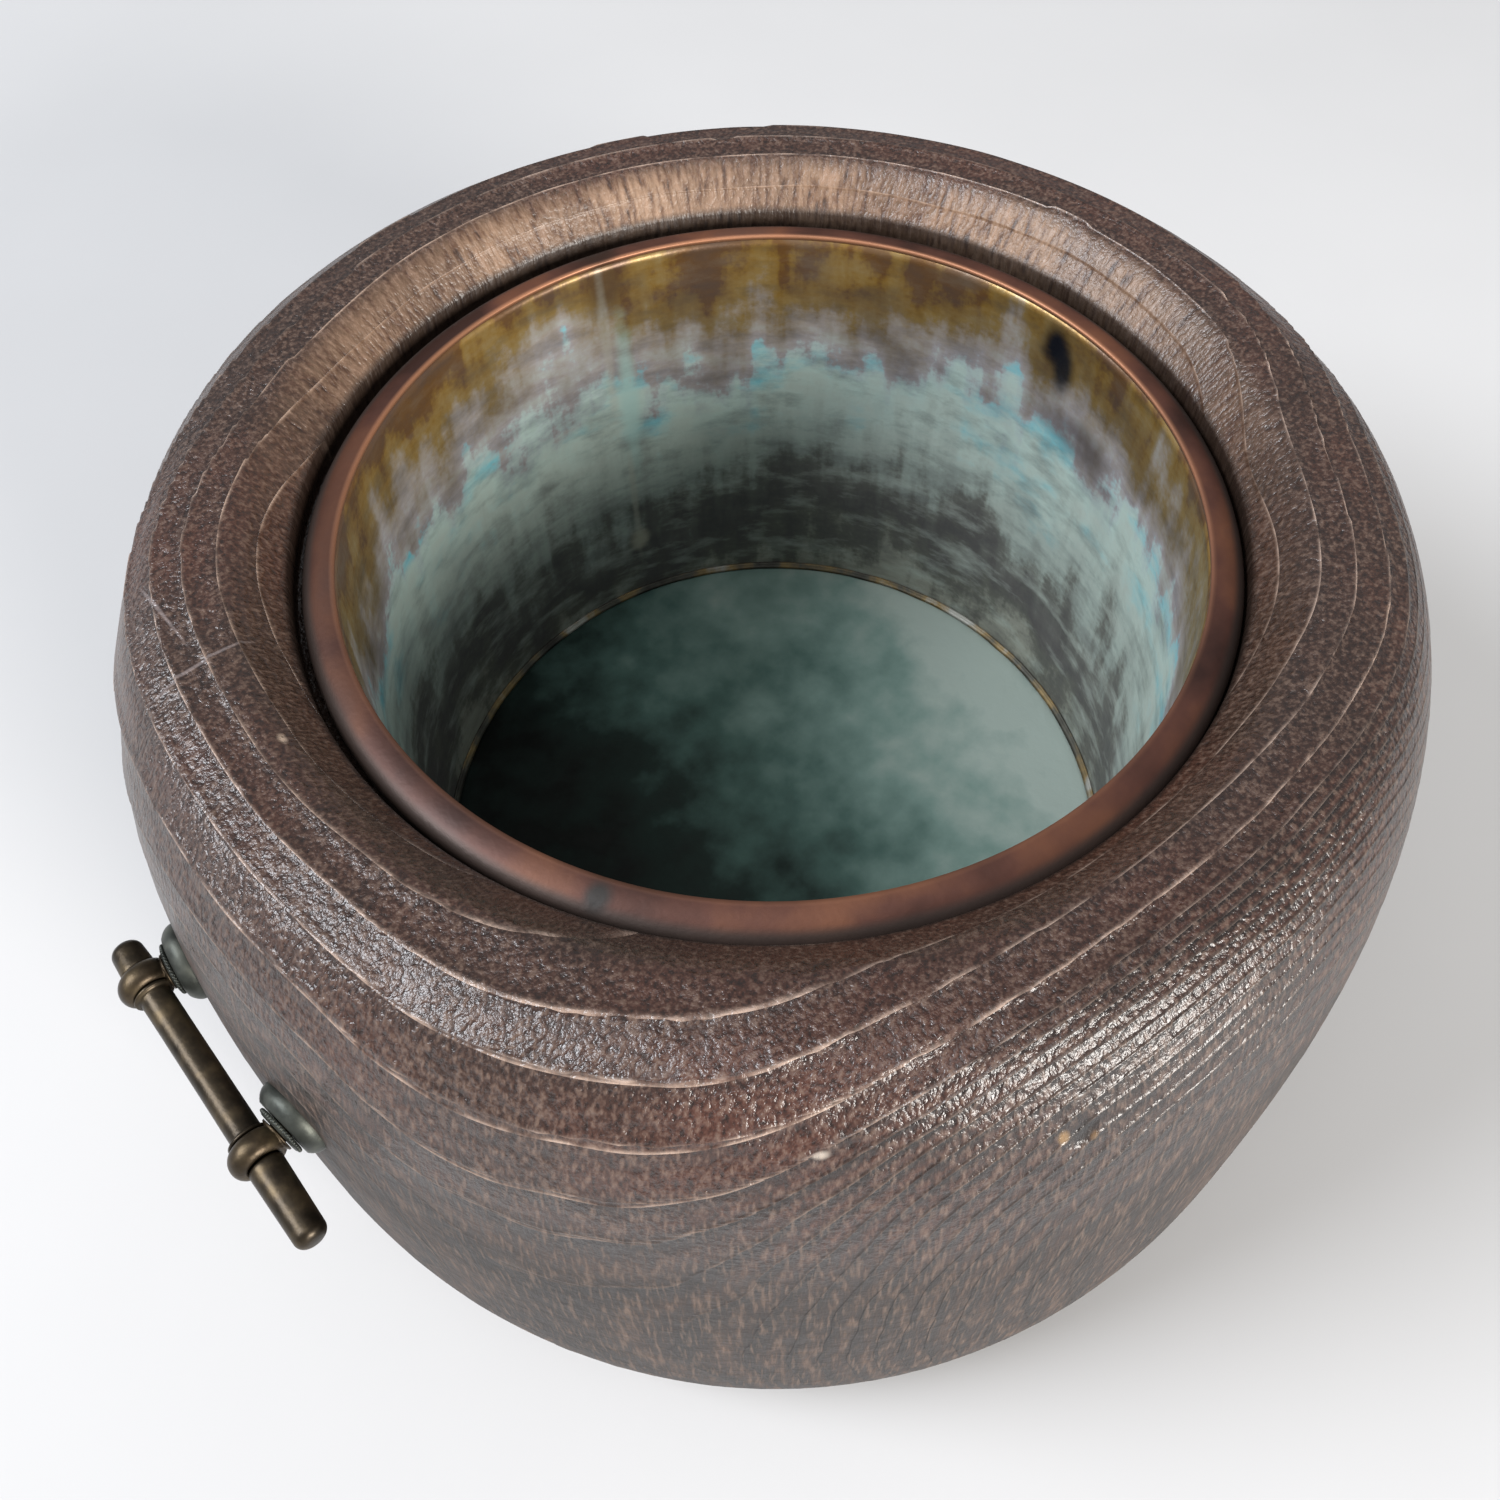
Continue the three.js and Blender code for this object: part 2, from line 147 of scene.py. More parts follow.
def ring_field(tree, place):
    """Share of the way from one ring's step to the next, and the ring's width in millimetres."""
    x, y, z = put(tree, "ShaderNodeSeparateXYZ", (place,))
    flat = put(tree, "ShaderNodeCombineXYZ", (x, y, 0.0))[0]
    radius = put(tree, "ShaderNodeVectorMath", (flat,), operation="LENGTH")["Value"]
    heading = put(tree, "ShaderNodeVectorMath", (flat,), operation="NORMALIZE")[0]
    reach = put(tree, "ShaderNodeMath", (radius, 1000.0), operation="MULTIPLY")[0]
    inside = put(tree, "ShaderNodeMath", (180.0, reach), operation="SUBTRACT")[0]
    inside = put(tree, "ShaderNodeMath", (inside, 0.0), operation="MAXIMUM")[0]
    for azimuth, power, height in RING_LOBES:
        facing = put(tree, "ShaderNodeVectorMath", (heading, toward(azimuth)),
                     operation="DOT_PRODUCT")["Value"]
        facing = put(tree, "ShaderNodeMath", (facing, 0.0), operation="MAXIMUM")[0]
        lobe = put(tree, "ShaderNodeMath", (facing, power), operation="POWER")[0]
        reach = put(tree, "ShaderNodeMath", (lobe, height, reach), operation="MULTIPLY_ADD")[0]
    # Towards the rim the rings climb out of the turned surface on one side.
    facing = put(tree, "ShaderNodeVectorMath", (heading, toward(RIM_LIFT_AZIMUTH)),
                 operation="DOT_PRODUCT")["Value"]
    facing = put(tree, "ShaderNodeMath", (facing, 0.0), operation="MAXIMUM")[0]
    facing = put(tree, "ShaderNodeMath", (facing, 14.0), operation="POWER")[0]
    climb = put(tree, "ShaderNodeMath", (inside, 2.0), operation="POWER")[0]
    climb = put(tree, "ShaderNodeMath", (climb, 0.0108), operation="MULTIPLY")[0]
    reach = put(tree, "ShaderNodeMath", (climb, facing, reach), operation="MULTIPLY_ADD")[0]
    # The pith leans a little, which puts the heart of the cathedral grain above the belly.
    lean = put(tree, "ShaderNodeMath", (z, 0.115), operation="SUBTRACT")[0]
    reach = put(tree, "ShaderNodeMath", (lean, 12.0, reach), operation="MULTIPLY_ADD")[0]
    # Slow waves 120 mm long and small ones 35 mm long.
    for scale, height in ((8.0, 3.0), (28.0, 1.6)):
        wave = put(tree, "ShaderNodeTexNoise", {"Vector": place, "Scale": scale, "Detail": 1.0})[0]
        wave = put(tree, "ShaderNodeMath", (wave, 0.5), operation="SUBTRACT")[0]
        reach = put(tree, "ShaderNodeMath", (wave, height, reach), operation="MULTIPLY_ADD")[0]
    # Rings are 9 mm wide in the young wood and under 2 mm wide near the bark.
    young = put(tree, "ShaderNodeMath", (reach, 126.0), operation="SUBTRACT")[0]
    young = put(tree, "ShaderNodeMath", (young, 9.0), operation="DIVIDE")[0]
    old = put(tree, "ShaderNodeMath", (reach, 182.0), operation="SUBTRACT")[0]
    old = put(tree, "ShaderNodeMath", (old, 0.0), operation="MAXIMUM")[0]
    late = put(tree, "ShaderNodeMath", (old, 16.0), operation="ADD")[0]
    late = put(tree, "ShaderNodeMath", (old, late), operation="DIVIDE")[0]
    extra = put(tree, "ShaderNodeMath", (old, late), operation="MULTIPLY")[0]
    count = put(tree, "ShaderNodeMath", (extra, 0.5, young), operation="MULTIPLY_ADD")[0]
    share = put(tree, "ShaderNodeMath", (count,), operation="FRACT")[0]
    crowding = put(tree, "ShaderNodeMath", (late, 0.6, 1 / 9), operation="MULTIPLY_ADD")[0]
    width = put(tree, "ShaderNodeMath", (1.0, crowding), operation="DIVIDE")[0]
    return share, width


def ring_ridge(tree, place, share, width, breadth):
    """One along each ring's raised edge, falling to nothing over its breadth in millimetres."""
    z = put(tree, "ShaderNodeSeparateXYZ", (place,))[2]
    slope = put(tree, "ShaderNodeMapRange", (z, 0.08, BODY_TOP, 0.0, 1.0))[0]
    slope = put(tree, "ShaderNodeMath", (slope, 3.5), operation="POWER")[0]
    slope = put(tree, "ShaderNodeMath", (slope, 0.75, 0.15), operation="MULTIPLY_ADD")[0]
    left = put(tree, "ShaderNodeMath", (1.0, share), operation="SUBTRACT")[0]
    left = put(tree, "ShaderNodeMath", (left, width), operation="MULTIPLY")[0]
    left = put(tree, "ShaderNodeMath", (left, slope), operation="DIVIDE")[0]
    near = put(tree, "ShaderNodeMath", (left, breadth), operation="DIVIDE")[0]
    near = put(tree, "ShaderNodeMath", (near, 2.0), operation="POWER")[0]
    near = put(tree, "ShaderNodeMath", (near, -1.0), operation="MULTIPLY")[0]
    return put(tree, "ShaderNodeMath", (near,), operation="EXPONENT")[0]


def ring_height(tree, share, ridge):
    """Height of the ringed surface, from nothing behind a step to one on its edge."""
    rise = put(tree, "ShaderNodeMath", (share, 2.0), operation="POWER")[0]
    rise = put(tree, "ShaderNodeMath", (rise, 0.5), operation="MULTIPLY")[0]
    return put(tree, "ShaderNodeMath", (ridge, 0.5, rise), operation="MULTIPLY_ADD")[0]


def near_seats(tree, place, inner, outer):
    """Nothing at the four handle seats and one away from them."""
    folded = put(tree, "ShaderNodeVectorMath", (place,), operation="ABSOLUTE")[0]
    seat = (SEAT_RADIAL * math.cos(EYE_ANGLE), SEAT_RADIAL * math.sin(EYE_ANGLE), BAR_Z)
    away = put(tree, "ShaderNodeVectorMath", (folded, seat), operation="DISTANCE")["Value"]
    return put(tree, "ShaderNodeMapRange", (away, inner, outer, 0.0, 1.0),
               interpolation_type="SMOOTHSTEP")[0]


def with_marks(tree, place, ragged, tone, marks):
    """Lays ragged spots over a tone, one for each mark, and gives the tone and the first spot's
    strength. A mark is its centre and size in millimetres, its colour and its strength."""
    found = []
    for centre, size, code, strength in marks:
        away = put(tree, "ShaderNodeVectorMath", (place, [v * MM for v in centre]),
                   operation="SUBTRACT")[0]
        away = put(tree, "ShaderNodeVectorMath", (away, [v * MM for v in size]),
                   operation="DIVIDE")[0]
        away = put(tree, "ShaderNodeVectorMath", (away,), operation="LENGTH")["Value"]
        away = put(tree, "ShaderNodeMath", (ragged, 1.2, away), operation="MULTIPLY_ADD")[0]
        spot = put(tree, "ShaderNodeMapRange", (away, 2.0, 1.0, 0.0, 1.0),
                   interpolation_type="SMOOTHSTEP")[0]
        spot = put(tree, "ShaderNodeMath", (spot, strength), operation="MULTIPLY")[0]
        found.append(spot)
        tone = put(tree, "ShaderNodeMix", {0: spot, 6: tone, 7: linear(code)}, data_type="RGBA")[2]
    return tone, found[0]


# ---- Materials -----------------------------------------------------------------------------

# Marks in the wood: a knot with two pale bits, two nicks and two crossed scratches.
WOOD_MARKS = (
    ((-65.7, -176.0, 211.5), (3.2, 3.0, 5.0), "15100d", 0.85),
    ((-69.5, -174.6, 213.0), (1.3, 1.5, 2.6), "9a7848", 0.6),
    ((-62.5, -177.2, 208.5), (1.1, 1.5, 2.0), "8d6c42", 0.5),
    ((-114.1, -143.7, 222.7), (2.4, 1.5, 1.2), "c9bcae", 0.55),
    ((-146.7, 14.0, 237.7), (1.3, 1.8, 1.2), "c4ad98", 0.7),
    ((-151.1, 75.2, 238.2), (0.5, 17.0, 4.0), "b5a8a6", 0.3),
    ((-152.3, 47.0, 238.0), (14.0, 0.55, 5.0), "b5a8a6", 0.28),
)
# Marks in the liner's wall: its soldered lap, streaked by water, and a burn under the lip.
WALL_MARKS = (
    ((32.0, 119.0, 216.0), (8.0, 8.0, 14.0), "4a3428", 0.7),
    ((30.0, 119.3, 186.0), (2.0, 3.0, 38.0), "a3a297", 0.4),
    ((36.0, 117.9, 158.0), (4.0, 3.0, 36.0), "9dbdb8", 0.75),
    ((33.5, 118.6, 105.0), (1.6, 3.0, 30.0), "a4a598", 0.5),
    ((33.8, 118.3, 81.0), (4.6, 4.0, 6.0), "a3a191", 0.9),
    ((124.4, -4.6, 212.0), (8.0, 6.0, 9.0), "15161f", 1.0),
    ((124.4, -8.6, 205.0), (8.0, 4.6, 10.0), "1b1c24", 0.95),
    ((122.0, -20.0, 182.0), (8.0, 18.0, 8.0), "4f494c", 0.6),
)
# Solder over the two joints of the liner's lip, with one bright speck.
LIP_MARKS = (
    ((-112.5, -65.5, 222.0), (3.6, 3.2, 9.0), "2a2927", 0.95),
    ((-114.4, -62.6, 221.0), (1.0, 1.0, 1.6), "c9ccc2", 0.9),
    ((34.0, 124.0, 222.0), (6.0, 6.0, 8.0), "33241d", 0.8),
)


def elm_material(wood):
    """Elm turned from one log, its soft wood brushed away between the rings and the whole wiped
    with dark lacquer. The eye sees a dark red-brown satin with pale rubbed ring edges, short
    pores over the shoulder and long vertical fibres on the belly."""
    material, tree, shader = new_material("Elm, turned, brushed and lacquered")
    place = put(tree, "ShaderNodeTexCoord")["Object"]
    x, y, z = put(tree, "ShaderNodeSeparateXYZ", (place,))
    share, width = ring_field(tree, place)
    ridge = ring_ridge(tree, place, share, width, 0.55)
    # Pores 1.2 mm and fibres 3 mm across run up the log, ten times as long as they are wide.
    along = put(tree, "ShaderNodeMapping", {"Vector": place, "Scale": (1.0, 1.0, 0.1)})[0]
    fibre = put(tree, "ShaderNodeTexNoise", {"Vector": along, "Scale": 820.0, "Detail": 2.5})[0]
    streak = put(tree, "ShaderNodeTexNoise", {"Vector": along, "Scale": 330.0, "Detail": 4.0})[0]
    # Brush marks 2 mm across, broken places 9 mm, blotches 17 mm and patches 65 mm.
    brush, broken, blotch, patch = (
        put(tree, "ShaderNodeTexNoise", {"Vector": place, "Scale": scale, "Detail": detail})[0]
        for scale, detail in ((520.0, 3.0), (110.0, 4.0), (60.0, 3.0), (15.0, 4.0)))
    tone = put(tree, "ShaderNodeMix", {0: blotch, 6: tuple(wood.lacquer), 7: linear("422c23")},
               data_type="RGBA")[2]
    red = put(tree, "ShaderNodeMapRange", (patch, 0.4, 0.7, 0.0, 0.6))[0]
    # Lower down the lacquer is thinner and browner.
    low = put(tree, "ShaderNodeMapRange", (z, 0.205, 0.14, 0.0, 0.8),
              interpolation_type="SMOOTHSTEP")[0]
    brown = put(tree, "ShaderNodeValToRGB", (streak,),
                ((0.3, "170f0a"), (0.5, "2c1f16"), (0.7, "523f31")))[0]
    # Painted shade just behind each ring step, where the step shades the wood.
    behind = put(tree, "ShaderNodeMapRange", (share, 0.0, 0.35, 0.55, 0.0))[0]
    # Crowded rings show as soft dark and light lines, not as steps: grain tone that also stands in
    # as painted shade for the steps kept low there.
    middle = put(tree, "ShaderNodeMath", (share, 0.6), operation="SUBTRACT")[0]
    middle = put(tree, "ShaderNodeMath", (middle,), operation="ABSOLUTE")[0]
    narrow = put(tree, "ShaderNodeMapRange", (width, 6.0, 3.0, 0.0, 2.0))[0]
    soft = put(tree, "ShaderNodeMath", (middle, narrow), operation="MULTIPLY")[0]
    speck = put(tree, "ShaderNodeMapRange", (fibre, 0.5, 0.72, 0.0, 0.55))[0]
    pit = put(tree, "ShaderNodeMapRange", (fibre, 0.52, 0.3, 0.0, 0.9))[0]
    # Rubbed ring edges, broken along their length, most where the rings are high and wide.
    broken = put(tree, "ShaderNodeMapRange", (broken, 0.38, 0.6, 0.1, 1.0))[0]
    high = put(tree, "ShaderNodeMapRange", (z, 0.13, 0.2, 0.1, 0.8))[0]
    wide = put(tree, "ShaderNodeMapRange", (width, 1.8, 6.5, 0.12, 1.0))[0]
    rub = ridge
    for part in (broken, high, wide):
        rub = put(tree, "ShaderNodeMath", (rub, part), operation="MULTIPLY")[0]
    # The slope inside the rim is worn to bare wood with radial pores, and painted lighter towards
    # the far, lit side.
    flat = put(tree, "ShaderNodeCombineXYZ", (x, y, 0.0))[0]
    radius = put(tree, "ShaderNodeVectorMath", (flat,), operation="LENGTH")["Value"]
    heading = put(tree, "ShaderNodeVectorMath", (flat,), operation="NORMALIZE")[0]
    hx, hy, _ = put(tree, "ShaderNodeSeparateXYZ", (heading,))
    short = put(tree, "ShaderNodeCombineXYZ", (hx, hy, z))[0]
    short = put(tree, "ShaderNodeMapping", {"Vector": short, "Scale": (0.145, 0.145, 0.3)})[0]
    ray = put(tree, "ShaderNodeTexNoise", {"Vector": short, "Scale": 520.0, "Detail": 4.0})[0]
    stain = put(tree, "ShaderNodeTexNoise", {"Vector": heading, "Scale": 3.2, "Detail": 3.0})[0]
    bare = put(tree, "ShaderNodeValToRGB", (ray,), (
        (0.3, "3e2b1d"), (0.4, "6b4d37"), (0.5, "876b53"), (0.68, "a08169")))[0]
    far = put(tree, "ShaderNodeVectorMath", (heading, FAR_LIT_SIDE), operation="DOT_PRODUCT")["Value"]
    worn_and_lit = put(tree, "ShaderNodeMapRange", (far, -0.15, 0.95, 0.04, 0.95),
               interpolation_type="SMOOTHSTEP")[0]
    stain = put(tree, "ShaderNodeMapRange", (stain, 0.36, 0.6, 0.45, 1.0))[0]
    sway = put(tree, "ShaderNodeMath", (patch, 0.008, -0.004), operation="MULTIPLY_ADD")[0]
    edge = put(tree, "ShaderNodeMath", (radius, sway), operation="ADD")[0]
    slope = put(tree, "ShaderNodeMapRange", (edge, 0.152, 0.144, 0.0, 1.0),
                interpolation_type="SMOOTHSTEP")[0]
    for part in (stain, slope):
        worn_and_lit = put(tree, "ShaderNodeMath", (worn_and_lit, part), operation="MULTIPLY")[0]
    # Painted shade in the rebate under the lip and in a ring round the handle seats, and bare dry
    # wood in the bore.
    rebate = put(tree, "ShaderNodeMapRange", (radius, 0.1382, 0.1366, 0.0, 0.85))[0]
    seats = near_seats(tree, place, 0.0115, 0.019)
    seat_shade = put(tree, "ShaderNodeMapRange", (seats, 0.0, 1.0, 0.75, 0.0))[0]
    bore = put(tree, "ShaderNodeMapRange", (radius, 0.1318, 0.1308, 0.0, 0.85))[0]
    dry = put(tree, "ShaderNodeValToRGB", (streak,),
              ((0.3, "4a3524"), (0.55, "7d6148"), (0.75, "9c7f62")))[0]
    for strength, colour in (
            (red, linear("4c271b")), (low, brown), (behind, linear("271c18")),
            (soft, linear("150f0c")), (speck, linear("735f52")), (pit, linear("1d1411")),
            (rub, tuple(wood.rubbed_edge)), (worn_and_lit, bare), (rebate, linear("1c1511")),
            (seat_shade, linear("2a2019")), (bore, dry)):
        tone = put(tree, "ShaderNodeMix", {0: strength, 6: tone, 7: colour}, data_type="RGBA")[2]
    tone, knot = with_marks(tree, place, blotch, tone, WOOD_MARKS)
    tree.links.new(tone, shader.inputs["Base Color"])
    rough = put(tree, "ShaderNodeMapRange", (fibre, 0.3, 0.7, 0.24, 0.38))[0]
    for part, weight in ((low, 0.42), (worn_and_lit, 0.2)):
        rough = put(tree, "ShaderNodeMath", (part, weight, rough), operation="MULTIPLY_ADD")[0]
    tree.links.new(rough, shader.inputs["Roughness"])
    # The brushed texture is deep in places, faint in others and worn off the slope.
    fine = put(tree, "ShaderNodeMix", {0: low, 2: brush, 3: streak})[0]
    deep = put(tree, "ShaderNodeMapRange", (broken, 0.2, 1.0, 0.35, 0.85))[0]
    kept = put(tree, "ShaderNodeMapRange", (slope, 0.0, 1.0, 1.0, 0.3))[0]
    for part in (deep, kept):
        fine = put(tree, "ShaderNodeMath", (fine, part), operation="MULTIPLY")[0]
    rays = put(tree, "ShaderNodeMath", (ray, slope), operation="MULTIPLY")[0]
    crowd = put(tree, "ShaderNodeMapRange", (width, 1.5, 6.0, 0.95, 0.8))[0]
    steps = ring_height(tree, share, ridge)
    relief = put(tree, "ShaderNodeMath", (steps, crowd), operation="MULTIPLY")[0]
    for part, weight in ((fibre, 0.5), (knot, -1.6), (fine, 1.0), (rays, 0.5), (blotch, 0.5)):
        relief = put(tree, "ShaderNodeMath", (part, weight, relief), operation="MULTIPLY_ADD")[0]
    bump = put(tree, "ShaderNodeBump", {"Strength": 0.9, "Distance": MM, "Height": relief})[0]
    tree.links.new(bump, shader.inputs["Normal"])
    shader.inputs["IOR"].default_value = 1.5
    shader.inputs["Specular IOR Level"].default_value = 0.7
    return material


def board_material():
    """Cedar board, planed and left bare. The eye sees straight pale and brown lines 4 mm apart."""
    material, tree, shader = new_material("Cedar board, planed")
    place = put(tree, "ShaderNodeTexCoord")["Object"]
    along = put(tree, "ShaderNodeMapping", {"Vector": place, "Scale": (0.06, 1.0, 1.0)})[0]
    grain = put(tree, "ShaderNodeTexNoise", {"Vector": along, "Scale": 260.0, "Detail": 4.0})[0]
    stain = put(tree, "ShaderNodeTexNoise", {"Vector": place, "Scale": 14.0, "Detail": 4.0})[0]
    tone = put(tree, "ShaderNodeValToRGB", (grain,),
               ((0.32, "5f4530"), (0.5, "8d6d4f"), (0.68, "a98a69")))[0]
    tone = put(tree, "ShaderNodeMix", {0: stain, 6: tone, 7: linear("4b3a2d")}, data_type="RGBA")[2]
    tree.links.new(tone, shader.inputs["Base Color"])
    shader.inputs["Roughness"].default_value = 0.75
    bump = put(tree, "ShaderNodeBump", {"Strength": 0.6, "Distance": 0.4 * MM, "Height": grain})[0]
    tree.links.new(bump, shader.inputs["Normal"])
    return material


def bamboo_material():
    """Bamboo pegs, split and whittled. The eye sees fine pale fibres along each peg."""
    material, tree, shader = new_material("Bamboo, whittled")
    place = put(tree, "ShaderNodeTexCoord")["Object"]
    along = put(tree, "ShaderNodeMapping", {"Vector": place, "Scale": (1.0, 1.0, 0.05)})[0]
    grain = put(tree, "ShaderNodeTexNoise", {"Vector": along, "Scale": 1400.0, "Detail": 2.0})[0]
    tone = put(tree, "ShaderNodeValToRGB", (grain,),
               ((0.3, "7a5d36"), (0.55, "a98a58"), (0.75, "c2a672")))[0]
    tree.links.new(tone, shader.inputs["Base Color"])
    shader.inputs["Roughness"].default_value = 0.6
    return material


def liner_wall_material(liner):
    """Copper sheet, rolled, then weathered by ash and water. The eye sees level tide marks: ochre
    metal under the lip, grey, a blue-green verdigris band with a bright edge, and a dark foot."""
    material, tree, shader = new_material("Copper sheet, rolled, verdigris tide marks")
    place = put(tree, "ShaderNodeTexCoord")["Object"]
    z = put(tree, "ShaderNodeSeparateXYZ", (place,))[2]
    runs, level, blown, swept = (
        put(tree, "ShaderNodeMapping", {"Vector": place, "Scale": scale})[0]
        for scale in ((1.0, 1.0, 0.16), (0.12, 0.12, 1.0), (0.5, 0.5, 1.0), (0.4, 0.4, 1.0)))
    # Tides 110 mm, clouds 24 mm, drips 8 mm and bloom 14 mm across, wisps 9 mm, rolling lines
    # 2.4 mm and grit 2 mm.
    tide, cloud, drip, bloom, flake, brushed, grit = (
        put(tree, "ShaderNodeTexNoise", {"Vector": vector, "Scale": scale, "Detail": detail,
                                         "Roughness": rough})[0]
        for vector, scale, detail, rough in (
            (place, 9.0, 2.0, 0.5), (place, 42.0, 6.0, 0.5), (runs, 120.0, 4.0, 0.5),
            (blown, 70.0, 7.0, 0.5), (swept, 110.0, 8.0, 0.62), (level, 420.0, 3.0, 0.5),
            (place, 520.0, 3.0, 0.5)))
    # Height on the wall in share of the wall, shifted by waves and by drips.
    depth = LIP_TOP - FLOOR_TOP
    share = put(tree, "ShaderNodeMapRange", (z, FLOOR_TOP, LIP_TOP, 0.0, 1.0))[0]
    for source, height in ((tide, 0.05), (cloud, 0.05), (drip, 0.04), (grit, 0.012)):
        shift = put(tree, "ShaderNodeMath", (source, 0.5), operation="SUBTRACT")[0]
        share = put(tree, "ShaderNodeMath", (shift, height / depth * 1.6, share),
                    operation="MULTIPLY_ADD")[0]
    tone = put(tree, "ShaderNodeValToRGB", (share,), (
        (0.0, "8c8e83"), (0.08, "5f6058"), (0.2, "504f4d"), (0.29, "63655f"), (0.37, "8f9a93"),
        (0.5, "a9b9b1"), (0.6, "abc0b9"), (0.66, "a4b5b4"), (0.7, "989496"), (0.81, "978c80"),
        (0.885, "8f7748"), (0.95, "876931"), (1.0, "6a4a26")))[0]
    # Blue-green bloom in streaks along the top of the verdigris band.
    bloom = put(tree, "ShaderNodeMapRange", (bloom, 0.5, 0.72, 0.0, 0.9))[0]
    inside = put(tree, "ShaderNodeMapRange", (share, 0.46, 0.62, 0.0, 1.0))[0]
    above = put(tree, "ShaderNodeMapRange", (share, 0.66, 0.71, 1.0, 0.0))[0]
    for part in (inside, above):
        bloom = put(tree, "ShaderNodeMath", (bloom, part), operation="MULTIPLY")[0]
    # Wisps of soot and chalk wiped round the wall, with hardly any chalk on the ochre.
    soot = put(tree, "ShaderNodeMapRange", (flake, 0.48, 0.72, 0.0, 0.5))[0]
    dull = put(tree, "ShaderNodeMapRange", (cloud, 0.48, 0.7, 0.0, 0.4))[0]
    chalk = put(tree, "ShaderNodeMapRange", (flake, 0.5, 0.28, 0.0, 0.6))[0]
    clean = put(tree, "ShaderNodeMapRange", (share, 0.72, 0.84, 1.0, 0.2))[0]
    chalk = put(tree, "ShaderNodeMath", (chalk, clean), operation="MULTIPLY")[0]
    for strength, colour in (
            (bloom, tuple(liner.verdigris)), (soot, linear("3d3c40")), (dull, linear("554f50")),
            (chalk, linear("a9b3ab"))):
        tone = put(tree, "ShaderNodeMix", {0: strength, 6: tone, 7: colour}, data_type="RGBA")[2]
    tone, _ = with_marks(tree, place, flake, tone, WALL_MARKS)
    # The outer face stayed dry: plain brown patina, sooty towards the foot.
    radius = liner_radius(tree, place)
    outer = put(tree, "ShaderNodeMapRange", (radius, BORE + 0.6 * MM, BORE + MM, 0.0, 1.0))[0]
    brown = put(tree, "ShaderNodeValToRGB", (cloud,), (
        (0.3, "2b211c"), (0.46, "3f2f26"), (0.56, "55402f"), (0.7, "44362c")))[0]
    sooty = put(tree, "ShaderNodeMapRange", (share, 0.4, 0.0, 0.0, 0.7))[0]
    brown = put(tree, "ShaderNodeMix", {0: sooty, 6: brown, 7: linear("241f1c")},
                data_type="RGBA")[2]
    tone = put(tree, "ShaderNodeMix", {0: outer, 6: tone, 7: brown}, data_type="RGBA")[2]
    tree.links.new(tone, shader.inputs["Base Color"])
    metal = put(tree, "ShaderNodeMapRange", (share, 0.68, 0.86, 0.05, 0.4))[0]
    metal = put(tree, "ShaderNodeMath", (outer, 0.1, metal), operation="MULTIPLY_ADD")[0]
    tree.links.new(metal, shader.inputs["Metallic"])
    rough = put(tree, "ShaderNodeMapRange", (share, 0.66, 0.86, 0.52, 0.26))[0]
    rough = put(tree, "ShaderNodeMath", (grit, 0.2, rough), operation="MULTIPLY_ADD")[0]
    tree.links.new(rough, shader.inputs["Roughness"])
    relief = put(tree, "ShaderNodeMath", (brushed, 0.12), operation="MULTIPLY")[0]
    for part, weight in ((cloud, 0.5), (grit, 0.1)):
        relief = put(tree, "ShaderNodeMath", (part, weight, relief), operation="MULTIPLY_ADD")[0]
    bump = put(tree, "ShaderNodeBump", {"Strength": 0.7, "Distance": MM, "Height": relief})[0]
    tree.links.new(bump, shader.inputs["Normal"])
    return material


def liner_radius(tree, place):
    """Distance from the liner's own axis."""
    shifted = put(tree, "ShaderNodeVectorMath", (place, (0.0, LINER_Y, 0.0)),
                  operation="SUBTRACT")[0]
    flat = put(tree, "ShaderNodeVectorMath", (shifted, (1.0, 1.0, 0.0)), operation="MULTIPLY")[0]
    return put(tree, "ShaderNodeVectorMath", (flat,), operation="LENGTH")["Value"]


